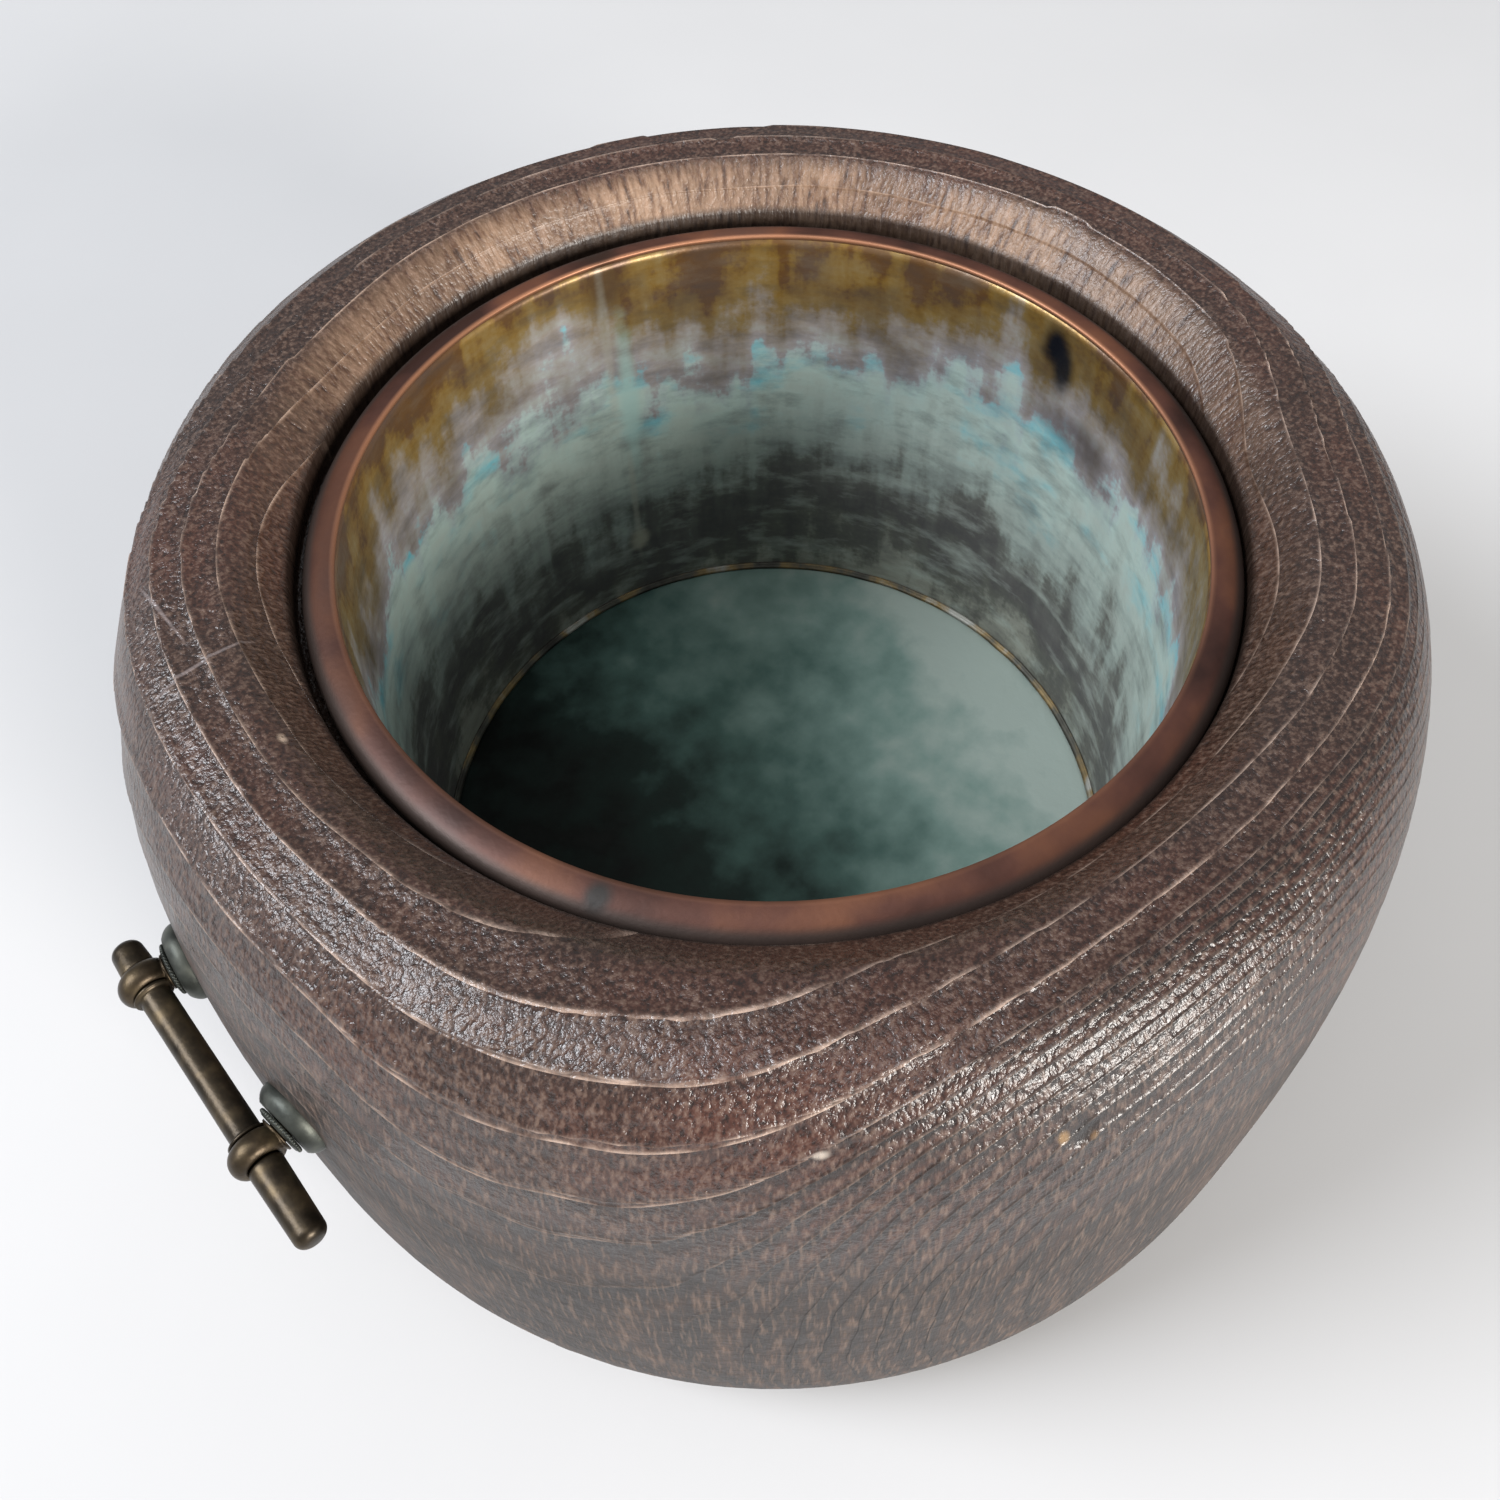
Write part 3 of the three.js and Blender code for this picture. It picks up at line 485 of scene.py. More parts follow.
def liner_floor_material():
    """Copper sheet, planished flat, under a thin film of verdigris. The eye sees cloudy teal and
    grey-green; one side is darker with painted shade over a dark stain, the other paler with
    painted light."""
    material, tree, shader = new_material("Copper sheet, planished, verdigris film")
    place = put(tree, "ShaderNodeTexCoord")["Object"]
    # Clouds 60 mm, mottling 14 mm and grit 2.4 mm across.
    cloud, mottle, grit = (
        put(tree, "ShaderNodeTexNoise", {"Vector": place, "Scale": scale, "Detail": detail})[0]
        for scale, detail in ((16.0, 5.0), (70.0, 6.0), (420.0, 3.0)))
    # Painted shade and light: darker towards the side the near wall shades, over a dark stain
    # there, and paler on the lit side.
    across = put(tree, "ShaderNodeVectorMath", (place, (0.98, -0.2, 0.0)),
                 operation="DOT_PRODUCT")["Value"]
    shade_and_mottle = put(tree, "ShaderNodeMapRange", (across, -0.08, 0.11, 0.0, 0.8))[0]
    for part, weight in ((cloud, 0.5), (mottle, 0.45)):
        shade_and_mottle = put(tree, "ShaderNodeMath", (part, weight, shade_and_mottle), operation="MULTIPLY_ADD")[0]
    shade_and_mottle = put(tree, "ShaderNodeMath", (shade_and_mottle, 0.45), operation="SUBTRACT")[0]
    tone = put(tree, "ShaderNodeValToRGB", (shade_and_mottle,), (
        (0.0, "080e0c"), (0.2, "1e2d29"), (0.4, "4a645e"), (0.6, "728a83"), (0.8, "98a59e")))[0]
    tree.links.new(tone, shader.inputs["Base Color"])
    shader.inputs["Metallic"].default_value = 0.1
    shader.inputs["Specular IOR Level"].default_value = 0.2
    rough = put(tree, "ShaderNodeMapRange", (mottle, 0.3, 0.7, 0.5, 0.72))[0]
    tree.links.new(rough, shader.inputs["Roughness"])
    relief = put(tree, "ShaderNodeMath", (grit, 0.2, mottle), operation="MULTIPLY_ADD")[0]
    bump = put(tree, "ShaderNodeBump", {"Strength": 0.5, "Distance": MM, "Height": relief})[0]
    tree.links.new(bump, shader.inputs["Normal"])
    return material


def lip_material(liner):
    """Copper sheet, folded over a wire and browned by handling. The eye sees a warm brown satin
    with a painted highlight along the inner crest and painted shade on the outer face."""
    material, tree, shader = new_material("Copper sheet, folded, brown patina")
    place = put(tree, "ShaderNodeTexCoord")["Object"]
    radius = liner_radius(tree, place)
    cloud = put(tree, "ShaderNodeTexNoise", {"Vector": place, "Scale": 22.0, "Detail": 5.0})[0]
    grit = put(tree, "ShaderNodeTexNoise", {"Vector": place, "Scale": 600.0, "Detail": 3.0})[0]
    tone = put(tree, "ShaderNodeValToRGB", (cloud,), (
        (0.34, "3f2822"), (0.46, "603d32"), (0.56, "7a4f3a"), (0.68, "65473c")))[0]
    # One side is painted darker, as shade and a dark reflection, and the crest carries a painted
    # highlight, strongest on the far, lit side.
    west_shade = put(tree, "ShaderNodeVectorMath", (place, (-0.95, 0.3, 0.0)),
               operation="DOT_PRODUCT")["Value"]
    west_shade = put(tree, "ShaderNodeMapRange", (west_shade, 0.05, 0.12, 0.0, 0.6))[0]
    far = put(tree, "ShaderNodeVectorMath", (place, FAR_LIT_SIDE), operation="DOT_PRODUCT")["Value"]
    # Painted highlight along the crest, faint on the near side and full on the far, lit side.
    rubbed = put(tree, "ShaderNodeMapRange", (far, -0.06, 0.06, 0.25, 1.0))[0]
    crest = put(tree, "ShaderNodeMapRange", (radius, BORE + 1.6 * MM, BORE + 0.3 * MM, 0.0, 0.7))[0]
    crest = put(tree, "ShaderNodeMath", (crest, rubbed), operation="MULTIPLY")[0]
    # The outer face is painted dark as shade from the rebate round it.
    outer = put(tree, "ShaderNodeMapRange", (radius, BORE + 5.8 * MM, BORE + 8.4 * MM, 0.0, 0.9),
                interpolation_type="SMOOTHSTEP")[0]
    for strength, colour in ((west_shade, linear("2c1a15")), (crest, tuple(liner.crest_highlight)),
                             (outer, linear("463c37"))):
        tone = put(tree, "ShaderNodeMix", {0: strength, 6: tone, 7: colour}, data_type="RGBA")[2]
    tone, _ = with_marks(tree, place, cloud, tone, LIP_MARKS)
    tree.links.new(tone, shader.inputs["Base Color"])
    shader.inputs["Metallic"].default_value = 0.5
    rough = put(tree, "ShaderNodeMapRange", (cloud, 0.3, 0.7, 0.42, 0.58))[0]
    tree.links.new(rough, shader.inputs["Roughness"])
    relief = put(tree, "ShaderNodeMath", (grit, 0.15, cloud), operation="MULTIPLY_ADD")[0]
    bump = put(tree, "ShaderNodeBump", {"Strength": 0.4, "Distance": MM, "Height": relief})[0]
    tree.links.new(bump, shader.inputs["Normal"])
    return material


def solder_material():
    """Lead-tin solder, wiped and corroded. The eye sees a dull broken grey line with ochre bits."""
    material, tree, shader = new_material("Solder, wiped and corroded")
    place = put(tree, "ShaderNodeTexCoord")["Object"]
    cloud = put(tree, "ShaderNodeTexNoise", {"Vector": place, "Scale": 55.0, "Detail": 5.0})[0]
    tone = put(tree, "ShaderNodeValToRGB", (cloud,), (
        (0.32, "2c2a26"), (0.45, "4b4a42"), (0.55, "7d6a45"), (0.62, "8f9089"),
        (0.75, "b4b2a8")))[0]
    tree.links.new(tone, shader.inputs["Base Color"])
    shader.inputs["Metallic"].default_value = 0.45
    shader.inputs["Roughness"].default_value = 0.55
    bump = put(tree, "ShaderNodeBump", {"Strength": 0.8, "Distance": MM, "Height": cloud})[0]
    tree.links.new(bump, shader.inputs["Normal"])
    return material


def bronze_material(name, tones, low, high, metallic):
    """Cast bronze, filed smooth and darkened by hands. The eye sees an olive-brown or grey-green
    metal, brighter where it is rubbed, with faint pits."""
    material, tree, shader = new_material(name)
    place = put(tree, "ShaderNodeTexCoord")["Object"]
    cloud = put(tree, "ShaderNodeTexNoise", {"Vector": place, "Scale": 140.0, "Detail": 5.0})[0]
    pits = put(tree, "ShaderNodeTexNoise", {"Vector": place, "Scale": 900.0, "Detail": 3.0})[0]
    tone = put(tree, "ShaderNodeValToRGB", (cloud,), tuple(zip((0.3, 0.5, 0.7), tones)))[0]
    tree.links.new(tone, shader.inputs["Base Color"])
    shader.inputs["Metallic"].default_value = metallic
    rough = put(tree, "ShaderNodeMapRange", (cloud, 0.3, 0.7, low, high))[0]
    tree.links.new(rough, shader.inputs["Roughness"])
    relief = put(tree, "ShaderNodeMath", (pits, 0.35, cloud), operation="MULTIPLY_ADD")[0]
    bump = put(tree, "ShaderNodeBump", {"Strength": 0.35, "Distance": 0.5 * MM,
                                        "Height": relief})[0]
    tree.links.new(bump, shader.inputs["Normal"])
    return material


def iron_material():
    """Iron, forged and dry. The eye sees dull black with brown rust blooms."""
    material, tree, shader = new_material("Iron, forged, dry rust")
    place = put(tree, "ShaderNodeTexCoord")["Object"]
    cloud = put(tree, "ShaderNodeTexNoise", {"Vector": place, "Scale": 160.0, "Detail": 5.0})[0]
    tone = put(tree, "ShaderNodeValToRGB", (cloud,),
               ((0.35, "23211f"), (0.55, "3a2f28"), (0.7, "5e3d26")))[0]
    tree.links.new(tone, shader.inputs["Base Color"])
    shader.inputs["Metallic"].default_value = 0.6
    shader.inputs["Roughness"].default_value = 0.7
    bump = put(tree, "ShaderNodeBump", {"Strength": 0.6, "Distance": 0.5 * MM, "Height": cloud})[0]
    tree.links.new(bump, shader.inputs["Normal"])
    return material


def floor_material():
    """Painted plaster slab, rolled matt. The eye sees a plain pale grey with hardly any tooth."""
    material, tree, shader = new_material("Painted slab, matt")
    place = put(tree, "ShaderNodeTexCoord")["Object"]
    cloud = put(tree, "ShaderNodeTexNoise", {"Vector": place, "Scale": 3.0, "Detail": 4.0})[0]
    tone = put(tree, "ShaderNodeValToRGB", (cloud,), ((0.3, "c4c4c4"), (0.7, "c9c9c9")))[0]
    tree.links.new(tone, shader.inputs["Base Color"])
    shader.inputs["Roughness"].default_value = 0.85
    return material


# ---- Mesh helpers --------------------------------------------------------------------------

def turned(profile, segments, wobble=None):
    """Mesh turned about Z from (radius, height) points in metres. A profile that doesn't start and
    end on the axis closes on itself."""
    shape = bmesh.new()
    on_axis = profile[0][0] < 1e-9 and profile[-1][0] < 1e-9
    inner = profile[1:-1] if on_axis else profile
    rings = []
    for row, (radius, height) in enumerate(inner):
        ring = []
        for step in range(segments):
            angle = step / segments * math.tau
            place = Vector((radius * math.cos(angle), radius * math.sin(angle), height))
            if wobble:
                place = wobble(place, angle, row)
            ring.append(shape.verts.new(place))
        rings.append(ring)
    pairs = list(zip(rings, rings[1:]))
    if not on_axis:
        pairs.append((rings[-1], rings[0]))
    for lower, upper in pairs:
        for step in range(segments):
            after = (step + 1) % segments
            shape.faces.new((lower[step], lower[after], upper[after], upper[step]))
    if on_axis:
        for ring, height in ((rings[0], profile[0][1]), (rings[-1], profile[-1][1])):
            pole = shape.verts.new((0.0, 0.0, height))
            for step in range(segments):
                shape.faces.new((pole, ring[step], ring[(step + 1) % segments]))
    bmesh.ops.recalc_face_normals(shape, faces=shape.faces)
    mesh = bpy.data.meshes.new("turned")
    shape.to_mesh(mesh)
    shape.free()
    mesh.shade_smooth()
    return mesh


def soft_corners(points, size, steps=3):
    """The same closed outline with every corner rounded over the given length."""
    found = []
    for index, point in enumerate(points):
        here = Vector(point)
        before = Vector(points[index - 1]) - here
        after = Vector(points[(index + 1) % len(points)]) - here
        reach = min(size, before.length * 0.4, after.length * 0.4)
        start = here + before.normalized() * reach
        end = here + after.normalized() * reach
        for step in range(steps + 1):
            t = step / steps
            found.append(tuple(start.lerp(here, t).lerp(here.lerp(end, t), t)))
    return found


def arc(middle, reach, first, last, steps):
    """Points along part of an ellipse, from its first angle to its last."""
    angles = [first + (last - first) * step / steps for step in range(steps + 1)]
    return [(middle[0] + reach[0] * math.cos(t), middle[1] + reach[1] * math.sin(t))
            for t in angles]


def finished(mesh, name, body, nodes, material):
    """Puts a finished mesh in the scene, riding on its body in place of its CAD nodes."""
    mesh.name = name
    mesh.materials.clear()
    mesh.materials.append(material)
    piece = bpy.data.objects.new(name, mesh)
    bpy.context.scene.collection.objects.link(piece)
    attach(piece, body)
    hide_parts(*nodes)
    return piece


def baked(piece):
    """Plain mesh of a piece with its modifiers applied; the piece itself is removed."""
    bpy.context.view_layer.update()
    evaluated = piece.evaluated_get(bpy.context.evaluated_depsgraph_get())
    mesh = bpy.data.meshes.new_from_object(evaluated)
    piece.modifiers.clear()
    old = piece.data
    bpy.data.objects.remove(piece)
    bpy.data.meshes.remove(old)
    return mesh


def combined(mesh, tools, operation):
    """A mesh cut by or joined to other closed meshes."""
    piece = bpy.data.objects.new("work", mesh)
    bpy.context.scene.collection.objects.link(piece)
    helpers = []
    for tool in tools:
        helper = bpy.data.objects.new("tool", tool)
        bpy.context.scene.collection.objects.link(helper)
        helpers.append(helper)
        modifier = piece.modifiers.new(operation, "BOOLEAN")
        modifier.operation = operation
        modifier.solver = "EXACT"
        modifier.object = helper
    result = baked(piece)
    for helper in helpers:
        old = helper.data
        bpy.data.objects.remove(helper)
        bpy.data.meshes.remove(old)
    return result


def dressed(names, material):
    """Gives CAD nodes that stay as they are their material."""
    for name in names:
        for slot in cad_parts[name].material_slots:
            slot.material = material


def station(side, end):
    """Place of a handle eye: X points out of the body along the shank, at the bar's height."""
    turn = Matrix.Rotation(SIDES[side] + ENDS[end] * EYE_ANGLE, 4, "Z")
    return Matrix.Translation((0.0, 0.0, BAR_Z)) @ turn


LIE_ALONG_X = Matrix.Rotation(math.pi / 2, 4, "Y")
LIE_ALONG_Y = Matrix.Rotation(-math.pi / 2, 4, "X")


# ---- Settings ------------------------------------------------------------------------------

class HibachiWood(bpy.types.PropertyGroup):
    """Sizes and colours of the turned body."""
    columns: bpy.props.IntProperty(
        name="Columns", description="Faces round the body", default=320, min=32, max=340)
    ring_height: bpy.props.FloatProperty(
        name="Ring height", description="Height of a ring's step above the wood behind it",
        default=1.35 * MM, min=0.0, unit="LENGTH", precision=5)
    lacquer: bpy.props.FloatVectorProperty(
        name="Lacquer", description="Colour of the lacquered wood", subtype="COLOR", size=4,
        default=linear("2d1e17"), min=0.0, max=1.0)
    rubbed_edge: bpy.props.FloatVectorProperty(
        name="Rubbed edge", description="Colour of the rubbed ring edges", subtype="COLOR",
        size=4, default=linear("b8a090"), min=0.0, max=1.0)


class HibachiLiner(bpy.types.PropertyGroup):
    """Sizes and colours of the copper liner."""
    segments: bpy.props.IntProperty(
        name="Segments", description="Faces round the liner", default=256, min=64, max=512)
    verdigris: bpy.props.FloatVectorProperty(
        name="Verdigris", description="Colour of the brightest bloom", subtype="COLOR", size=4,
        default=linear("52b4c4"), min=0.0, max=1.0)
    # Colour of the painted highlight on the lip's crest.
    crest_highlight: bpy.props.FloatVectorProperty(
        name="Bright copper", description="Colour of the rubbed crest", subtype="COLOR", size=4,
        default=linear("b07c5c"), min=0.0, max=1.0)


class HibachiHandles(bpy.types.PropertyGroup):
    """Sizes of the handles."""
    bead_count: bpy.props.IntProperty(
        name="Beads", description="Beads round each washer", default=44, min=12, max=64)
    bead_diameter: bpy.props.FloatProperty(
        name="Bead size", description="Diameter of one bead", default=1.15 * MM, min=0.2 * MM,
        unit="LENGTH", precision=5)


class HibachiStage(bpy.types.PropertyGroup):
    """Light on the floor and the object."""
    sky: bpy.props.FloatProperty(
        name="Sky", description="Strength of the even light all round", default=0.41, min=0.0)
    window: bpy.props.FloatProperty(
        name="Window", description="Power of the large soft light", default=142.0, min=0.0,
        unit="POWER")


# ---- Operators -----------------------------------------------------------------------------

class HIBACHI_OT_stage(bpy.types.Operator):
    """Camera, pale floor and soft studio light"""
    bl_idname = "hibachi.stage"
    bl_label = "Stage"

    def execute(self, context):
        scene = context.scene
        settings = scene.hibachi_stage
        lens = bpy.data.cameras.new("Camera")
        camera = bpy.data.objects.new("Camera", lens)
        scene.collection.objects.link(camera)
        scene.camera = camera
        right = Vector((0.7486, -0.6628, -0.0168))
        up = Vector((0.5285, 0.5813, 0.6187))
        back = Vector((-0.4003, -0.4721, 0.7854))
        turn = Matrix((right, up, back)).transposed().to_4x4()
        camera.matrix_world = Matrix.Translation((-0.18221, -0.20622, 0.52900)) @ turn
        lens.lens = 33.95
        lens.sensor_width = 36.0
        lens.shift_y = -0.1
        lens.clip_start = 0.01
        shape = bmesh.new()
        bmesh.ops.create_grid(shape, x_segments=8, y_segments=8, size=FLOOR_REACH)
        mesh = bpy.data.meshes.new("studio_floor")
        shape.to_mesh(mesh)
        shape.free()
        mesh.materials.append(floor_material())
        ground = bpy.data.objects.new("studio_floor", mesh)
        scene.collection.objects.link(ground)
        world = bpy.data.worlds.new("Studio")
        world.use_nodes = True
        world.node_tree.nodes["Background"].inputs[0].default_value = linear("f4f6fa")
        world.node_tree.nodes["Background"].inputs[1].default_value = settings.sky
        scene.world = world
        scene.view_settings.view_transform = "Standard"
        for name, azimuth, elevation, share, size, code in (
                ("Window light", 150.0, 43.0, 1.25, 2.0, "f6f9ff"),
                ("Side light", -90.0, 15.0, 1.7, 1.8, "fffaf4"),
                ("Overhead light", 175.0, 80.0, 0.2, 2.8, "ffffff")):
            lamp = bpy.data.lights.new(name, "AREA")
            lamp.shape = "DISK"
            lamp.size = size
            lamp.energy = settings.window * share
            lamp.color = linear(code)[:3]
            light = bpy.data.objects.new(name, lamp)
            scene.collection.objects.link(light)
            back = toward(azimuth, elevation)
            light.location = LIGHT_TARGET + back * LIGHT_DISTANCE
            light.rotation_mode = "QUATERNION"
            light.rotation_quaternion = back.to_track_quat("Z", "Y")
        return {"FINISHED"}


def body_outline():
    """Section of the wood from the foot up the outside and down the bore, as (radius, height,
    relief) in millimetres. Relief says how far the ring steps show there."""
    top, belly = BODY_TOP / MM, 75.0
    rebate, bore, well = 136.5, 130.0, 142.3
    outside = []
    for step in range(401):
        t = step / 400 * math.pi / 2
        outside.append((160 + 38.4 * math.sin(t) ** (2 / 3),
                        belly - belly * math.cos(t) ** (2 / 3)))
    for step in range(1, 801):
        t = math.pi / 2 - step / 800 * math.pi / 2
        outside.append((155 + 43.4 * max(0.0, math.sin(t)) ** (2 / 3),
                        belly + (top - belly) * math.cos(t) ** (2 / 3)))
    outside += [(152.0, top - 0.1), (148.9, top - 0.8), (147.6, top - 2.1)]
    for step in range(1, 19):
        t = step / 18
        outside.append((147.6 + t * (136.9 - 147.6), top - 2.1 + t * (225.5 - top + 2.1)))
    found = [(well, 0.6, 0.0), (143.0, 0.0, 0.0), (151.0, 0.0, 0.0), (158.6, 0.0, 0.0)]
    walked = 0.0
    last = outside[0]
    for point in outside[1:]:
        walked += math.dist(point, last)
        last = point
        spacing = 1.75 if point[1] < 105 else 0.87
        if walked >= spacing:
            walked = 0.0
            relief = min(1.0, max(0.0, (point[1] - 2.0) / 8.0))
            if point[0] < 149.0:
                relief *= max(0.0, (point[0] - 145.5) / 3.5)
            found.append((point[0], point[1], relief))
    inside = [(rebate, height) for height in (224.6, 220.0, 216.3)]
    inside += [(rebate - 0.6, 215.7), (bore + 0.6, 215.7)]
    inside += [(bore, height) for height in (215.1, 190.0, 160.0, 130.0, 95.0, 60.0, 30.9)]
    inside += [(bore + 0.6, 30.3), (well - 0.6, 30.3)]
    inside += [(well, height) for height in (29.7, 15.0, 0.6)]
    found += [(radius, height, 0.0) for radius, height in inside]
    return found


def new_nodes(name, sockets):
    """A Geometry Nodes tree with the given inputs and a material, and its input values."""
    tree = bpy.data.node_groups.new(name, "GeometryNodeTree")
    for socket, kind in {**sockets, "Material": "Material"}.items():
        tree.interface.new_socket(socket, in_out="INPUT", socket_type=f"NodeSocket{kind}")
    tree.interface.new_socket("Mesh", in_out="OUTPUT", socket_type="NodeSocketGeometry")
    return tree, put(tree, "NodeGroupInput")


def ended(tree, geometry, material):
    """The tree with its geometry made real, given its material and handed out."""
    solid = put(tree, "GeometryNodeRealizeInstances", {"Geometry": geometry})[0]
    solid = put(tree, "GeometryNodeSetMaterial", {"Geometry": solid, "Material": material})[0]
    put(tree, "NodeGroupOutput", (solid,))
    return tree


def log_tree():
    """Geometry nodes that sweep a section round the log and raise its growth rings."""
    tree, given = new_nodes("Turned log with raised rings", {
        "Section": "Geometry", "Columns": "Int", "Rows": "Int", "Ring height": "Float"})
    across = put(tree, "ShaderNodeMath", (given["Columns"], 1.0), operation="ADD")[0]
    down = put(tree, "ShaderNodeMath", (given["Rows"], 1.0), operation="ADD")[0]
    grid = put(tree, "GeometryNodeMeshGrid", (1.0, 1.0, across, down))[0]
    here = put(tree, "GeometryNodeInputPosition")[0]
    x, y, _ = put(tree, "ShaderNodeSeparateXYZ", (here,))
    turn = put(tree, "ShaderNodeMath", (x, math.tau), operation="MULTIPLY")[0]
    row = put(tree, "ShaderNodeMath", (y, 0.5), operation="ADD")[0]
    row = put(tree, "ShaderNodeMath", (row, given["Rows"]), operation="MULTIPLY")[0]
    row = put(tree, "ShaderNodeMath", (row,), operation="ROUND")[0]
    relief = put(tree, "GeometryNodeInputNamedAttribute", ("relief",), data_type="FLOAT")[0]
    relief = put(tree, "GeometryNodeSampleIndex",
                 {"Geometry": given["Section"], "Value": relief, "Index": row},
                 data_type="FLOAT", domain="POINT")[0]
    marked = put(tree, "GeometryNodeStoreNamedAttribute",
                 {"Geometry": grid, "Name": "relief", "Value": relief},
                 data_type="FLOAT", domain="POINT")[0]
    point = put(tree, "GeometryNodeSampleIndex",
                {"Geometry": given["Section"], "Value": here, "Index": row},
                data_type="FLOAT_VECTOR", domain="POINT")[0]
    radius, _, height = put(tree, "ShaderNodeSeparateXYZ", (point,))
    cosine = put(tree, "ShaderNodeMath", (turn,), operation="COSINE")[0]
    sine = put(tree, "ShaderNodeMath", (turn,), operation="SINE")[0]
    px = put(tree, "ShaderNodeMath", (radius, cosine), operation="MULTIPLY")[0]
    py = put(tree, "ShaderNodeMath", (radius, sine), operation="MULTIPLY")[0]
    place = put(tree, "ShaderNodeCombineXYZ", (px, py, height))[0]
    swept = put(tree, "GeometryNodeSetPosition", {"Geometry": marked, "Position": place})[0]
    swept = put(tree, "GeometryNodeMergeByDistance", {"Geometry": swept, "Distance": 1e-6})[0]
    share, width = ring_field(tree, here)
    ridge = ring_ridge(tree, here, share, width, 1.5)
    raised = ring_height(tree, share, ridge)
    # Steps are lower where the rings crowd together.
    crowd = put(tree, "ShaderNodeMapRange", (width, 3.0, 7.0, 0.06, 1.0))[0]
    sunk = put(tree, "ShaderNodeMath", (raised, 1.0), operation="SUBTRACT")[0]
    sunk = put(tree, "ShaderNodeMath", (sunk, crowd), operation="MULTIPLY")[0]
    sunk = put(tree, "ShaderNodeMath", (sunk, given["Ring height"]), operation="MULTIPLY")[0]
    stored = put(tree, "GeometryNodeInputNamedAttribute", ("relief",), data_type="FLOAT")[0]
    sunk = put(tree, "ShaderNodeMath", (sunk, stored), operation="MULTIPLY")[0]
    seats = near_seats(tree, here, 0.0125, 0.02)
    sunk = put(tree, "ShaderNodeMath", (sunk, seats), operation="MULTIPLY")[0]
    outward = put(tree, "GeometryNodeInputNormal")[0]
    shift = put(tree, "ShaderNodeVectorMath", {0: outward, "Scale": sunk}, operation="SCALE")[0]
    ringed = put(tree, "GeometryNodeSetPosition", {"Geometry": swept, "Offset": shift})[0]
    smooth = put(tree, "GeometryNodeSetShadeSmooth", {"Geometry": ringed, "Shade Smooth": True})[0]
    return ended(tree, smooth, given["Material"])


def run_tree(tree, source, values):
    """Mesh made by a node tree from a source mesh and named input values."""
    piece = bpy.data.objects.new("work", source)
    bpy.context.scene.collection.objects.link(piece)
    modifier = piece.modifiers.new("Nodes", "NODES")
    modifier.node_group = tree
    for socket in tree.interface.items_tree:
        if socket.in_out == "INPUT" and socket.name in values:
            modifier[socket.identifier] = values[socket.name]
    return baked(piece)


class HIBACHI_OT_body(bpy.types.Operator):
    """Elm body turned from a log, with raised growth rings"""
    bl_idname = "hibachi.body"
    bl_label = "Wooden body"

    def execute(self, context):
        wood = context.scene.hibachi_wood
        elm = elm_material(wood)
        outline = body_outline()
        section = bpy.data.meshes.new("section")
        section.from_pydata([(radius * MM, 0.0, height * MM) for radius, height, _ in outline],
                            [(i, i + 1) for i in range(len(outline) - 1)], [])
        relief = section.attributes.new("relief", "FLOAT", "POINT")
        relief.data.foreach_set("value", [row[2] for row in outline])
        mesh = run_tree(log_tree(), section, {
            "Columns": wood.columns, "Rows": len(outline) - 1,
            "Ring height": wood.ring_height, "Material": elm})
        # At each eye a pocket in the bore for the clinch washer and a hole for the shank.
        cutters = []
        for side in SIDES:
            for end in ENDS:
                for radius, start, stop in ((15.0, 125.4, 134.6), (3.4, 120.0, 205.0)):
                    cutter = turned(metres([(0.0, start), (radius, start), (radius, stop),
                                            (0.0, stop)]), 40)
                    cutter.transform(station(side, end) @ LIE_ALONG_X)
                    cutters.append(cutter)
        mesh = combined(mesh, cutters, "DIFFERENCE")
        if len(mesh.polygons) < 10000:
            raise RuntimeError("the wooden body came out empty")
        finished(mesh, "wood_body_turned", "root", ["wood_body"], elm)
        return {"FINISHED"}


class HIBACHI_OT_board(bpy.types.Operator):
    """Bottom board and its pegs"""
    bl_idname = "hibachi.board"
    bl_label = "Bottom board"

    def execute(self, context):
        dressed(["bottom_board"], board_material())
        dressed([f"board_peg_{i}" for i in range(1, 7)], bamboo_material())
        return {"FINISHED"}


# Each of these moves the points of a turned mesh; the angle and row come from turned().
def dented(place, angle, row):
    """A sheet-metal wall or floor pushed in and out by a fraction of a millimetre."""
    push = noise.noise(Vector((place.x * 22, place.y * 22, place.z * 14))) * 0.22 * MM
    flat = Vector((place.x, place.y, 0.0))
    return place - flat.normalized() * abs(push) if flat.length > 1e-6 else place


def beaten(place, angle, row):
    """A flat sheet that has sunk unevenly by a fraction of a millimetre."""
    push = noise.noise(Vector((place.x * 26, place.y * 26, 1.7))) * 0.3 * MM
    return place - Vector((0.0, 0.0, abs(push)))


def lumpy(place, angle, row):
    """A wiped line of solder, thicker and thinner along its length."""
    push = noise.noise(Vector((place.x * 90, place.y * 90, 3.1))) * 0.5 * MM
    flat = Vector((place.x, place.y, 0.0)).normalized()
    return place + flat * min(0.0, push) if row in (0, 3, 4, 5) else place


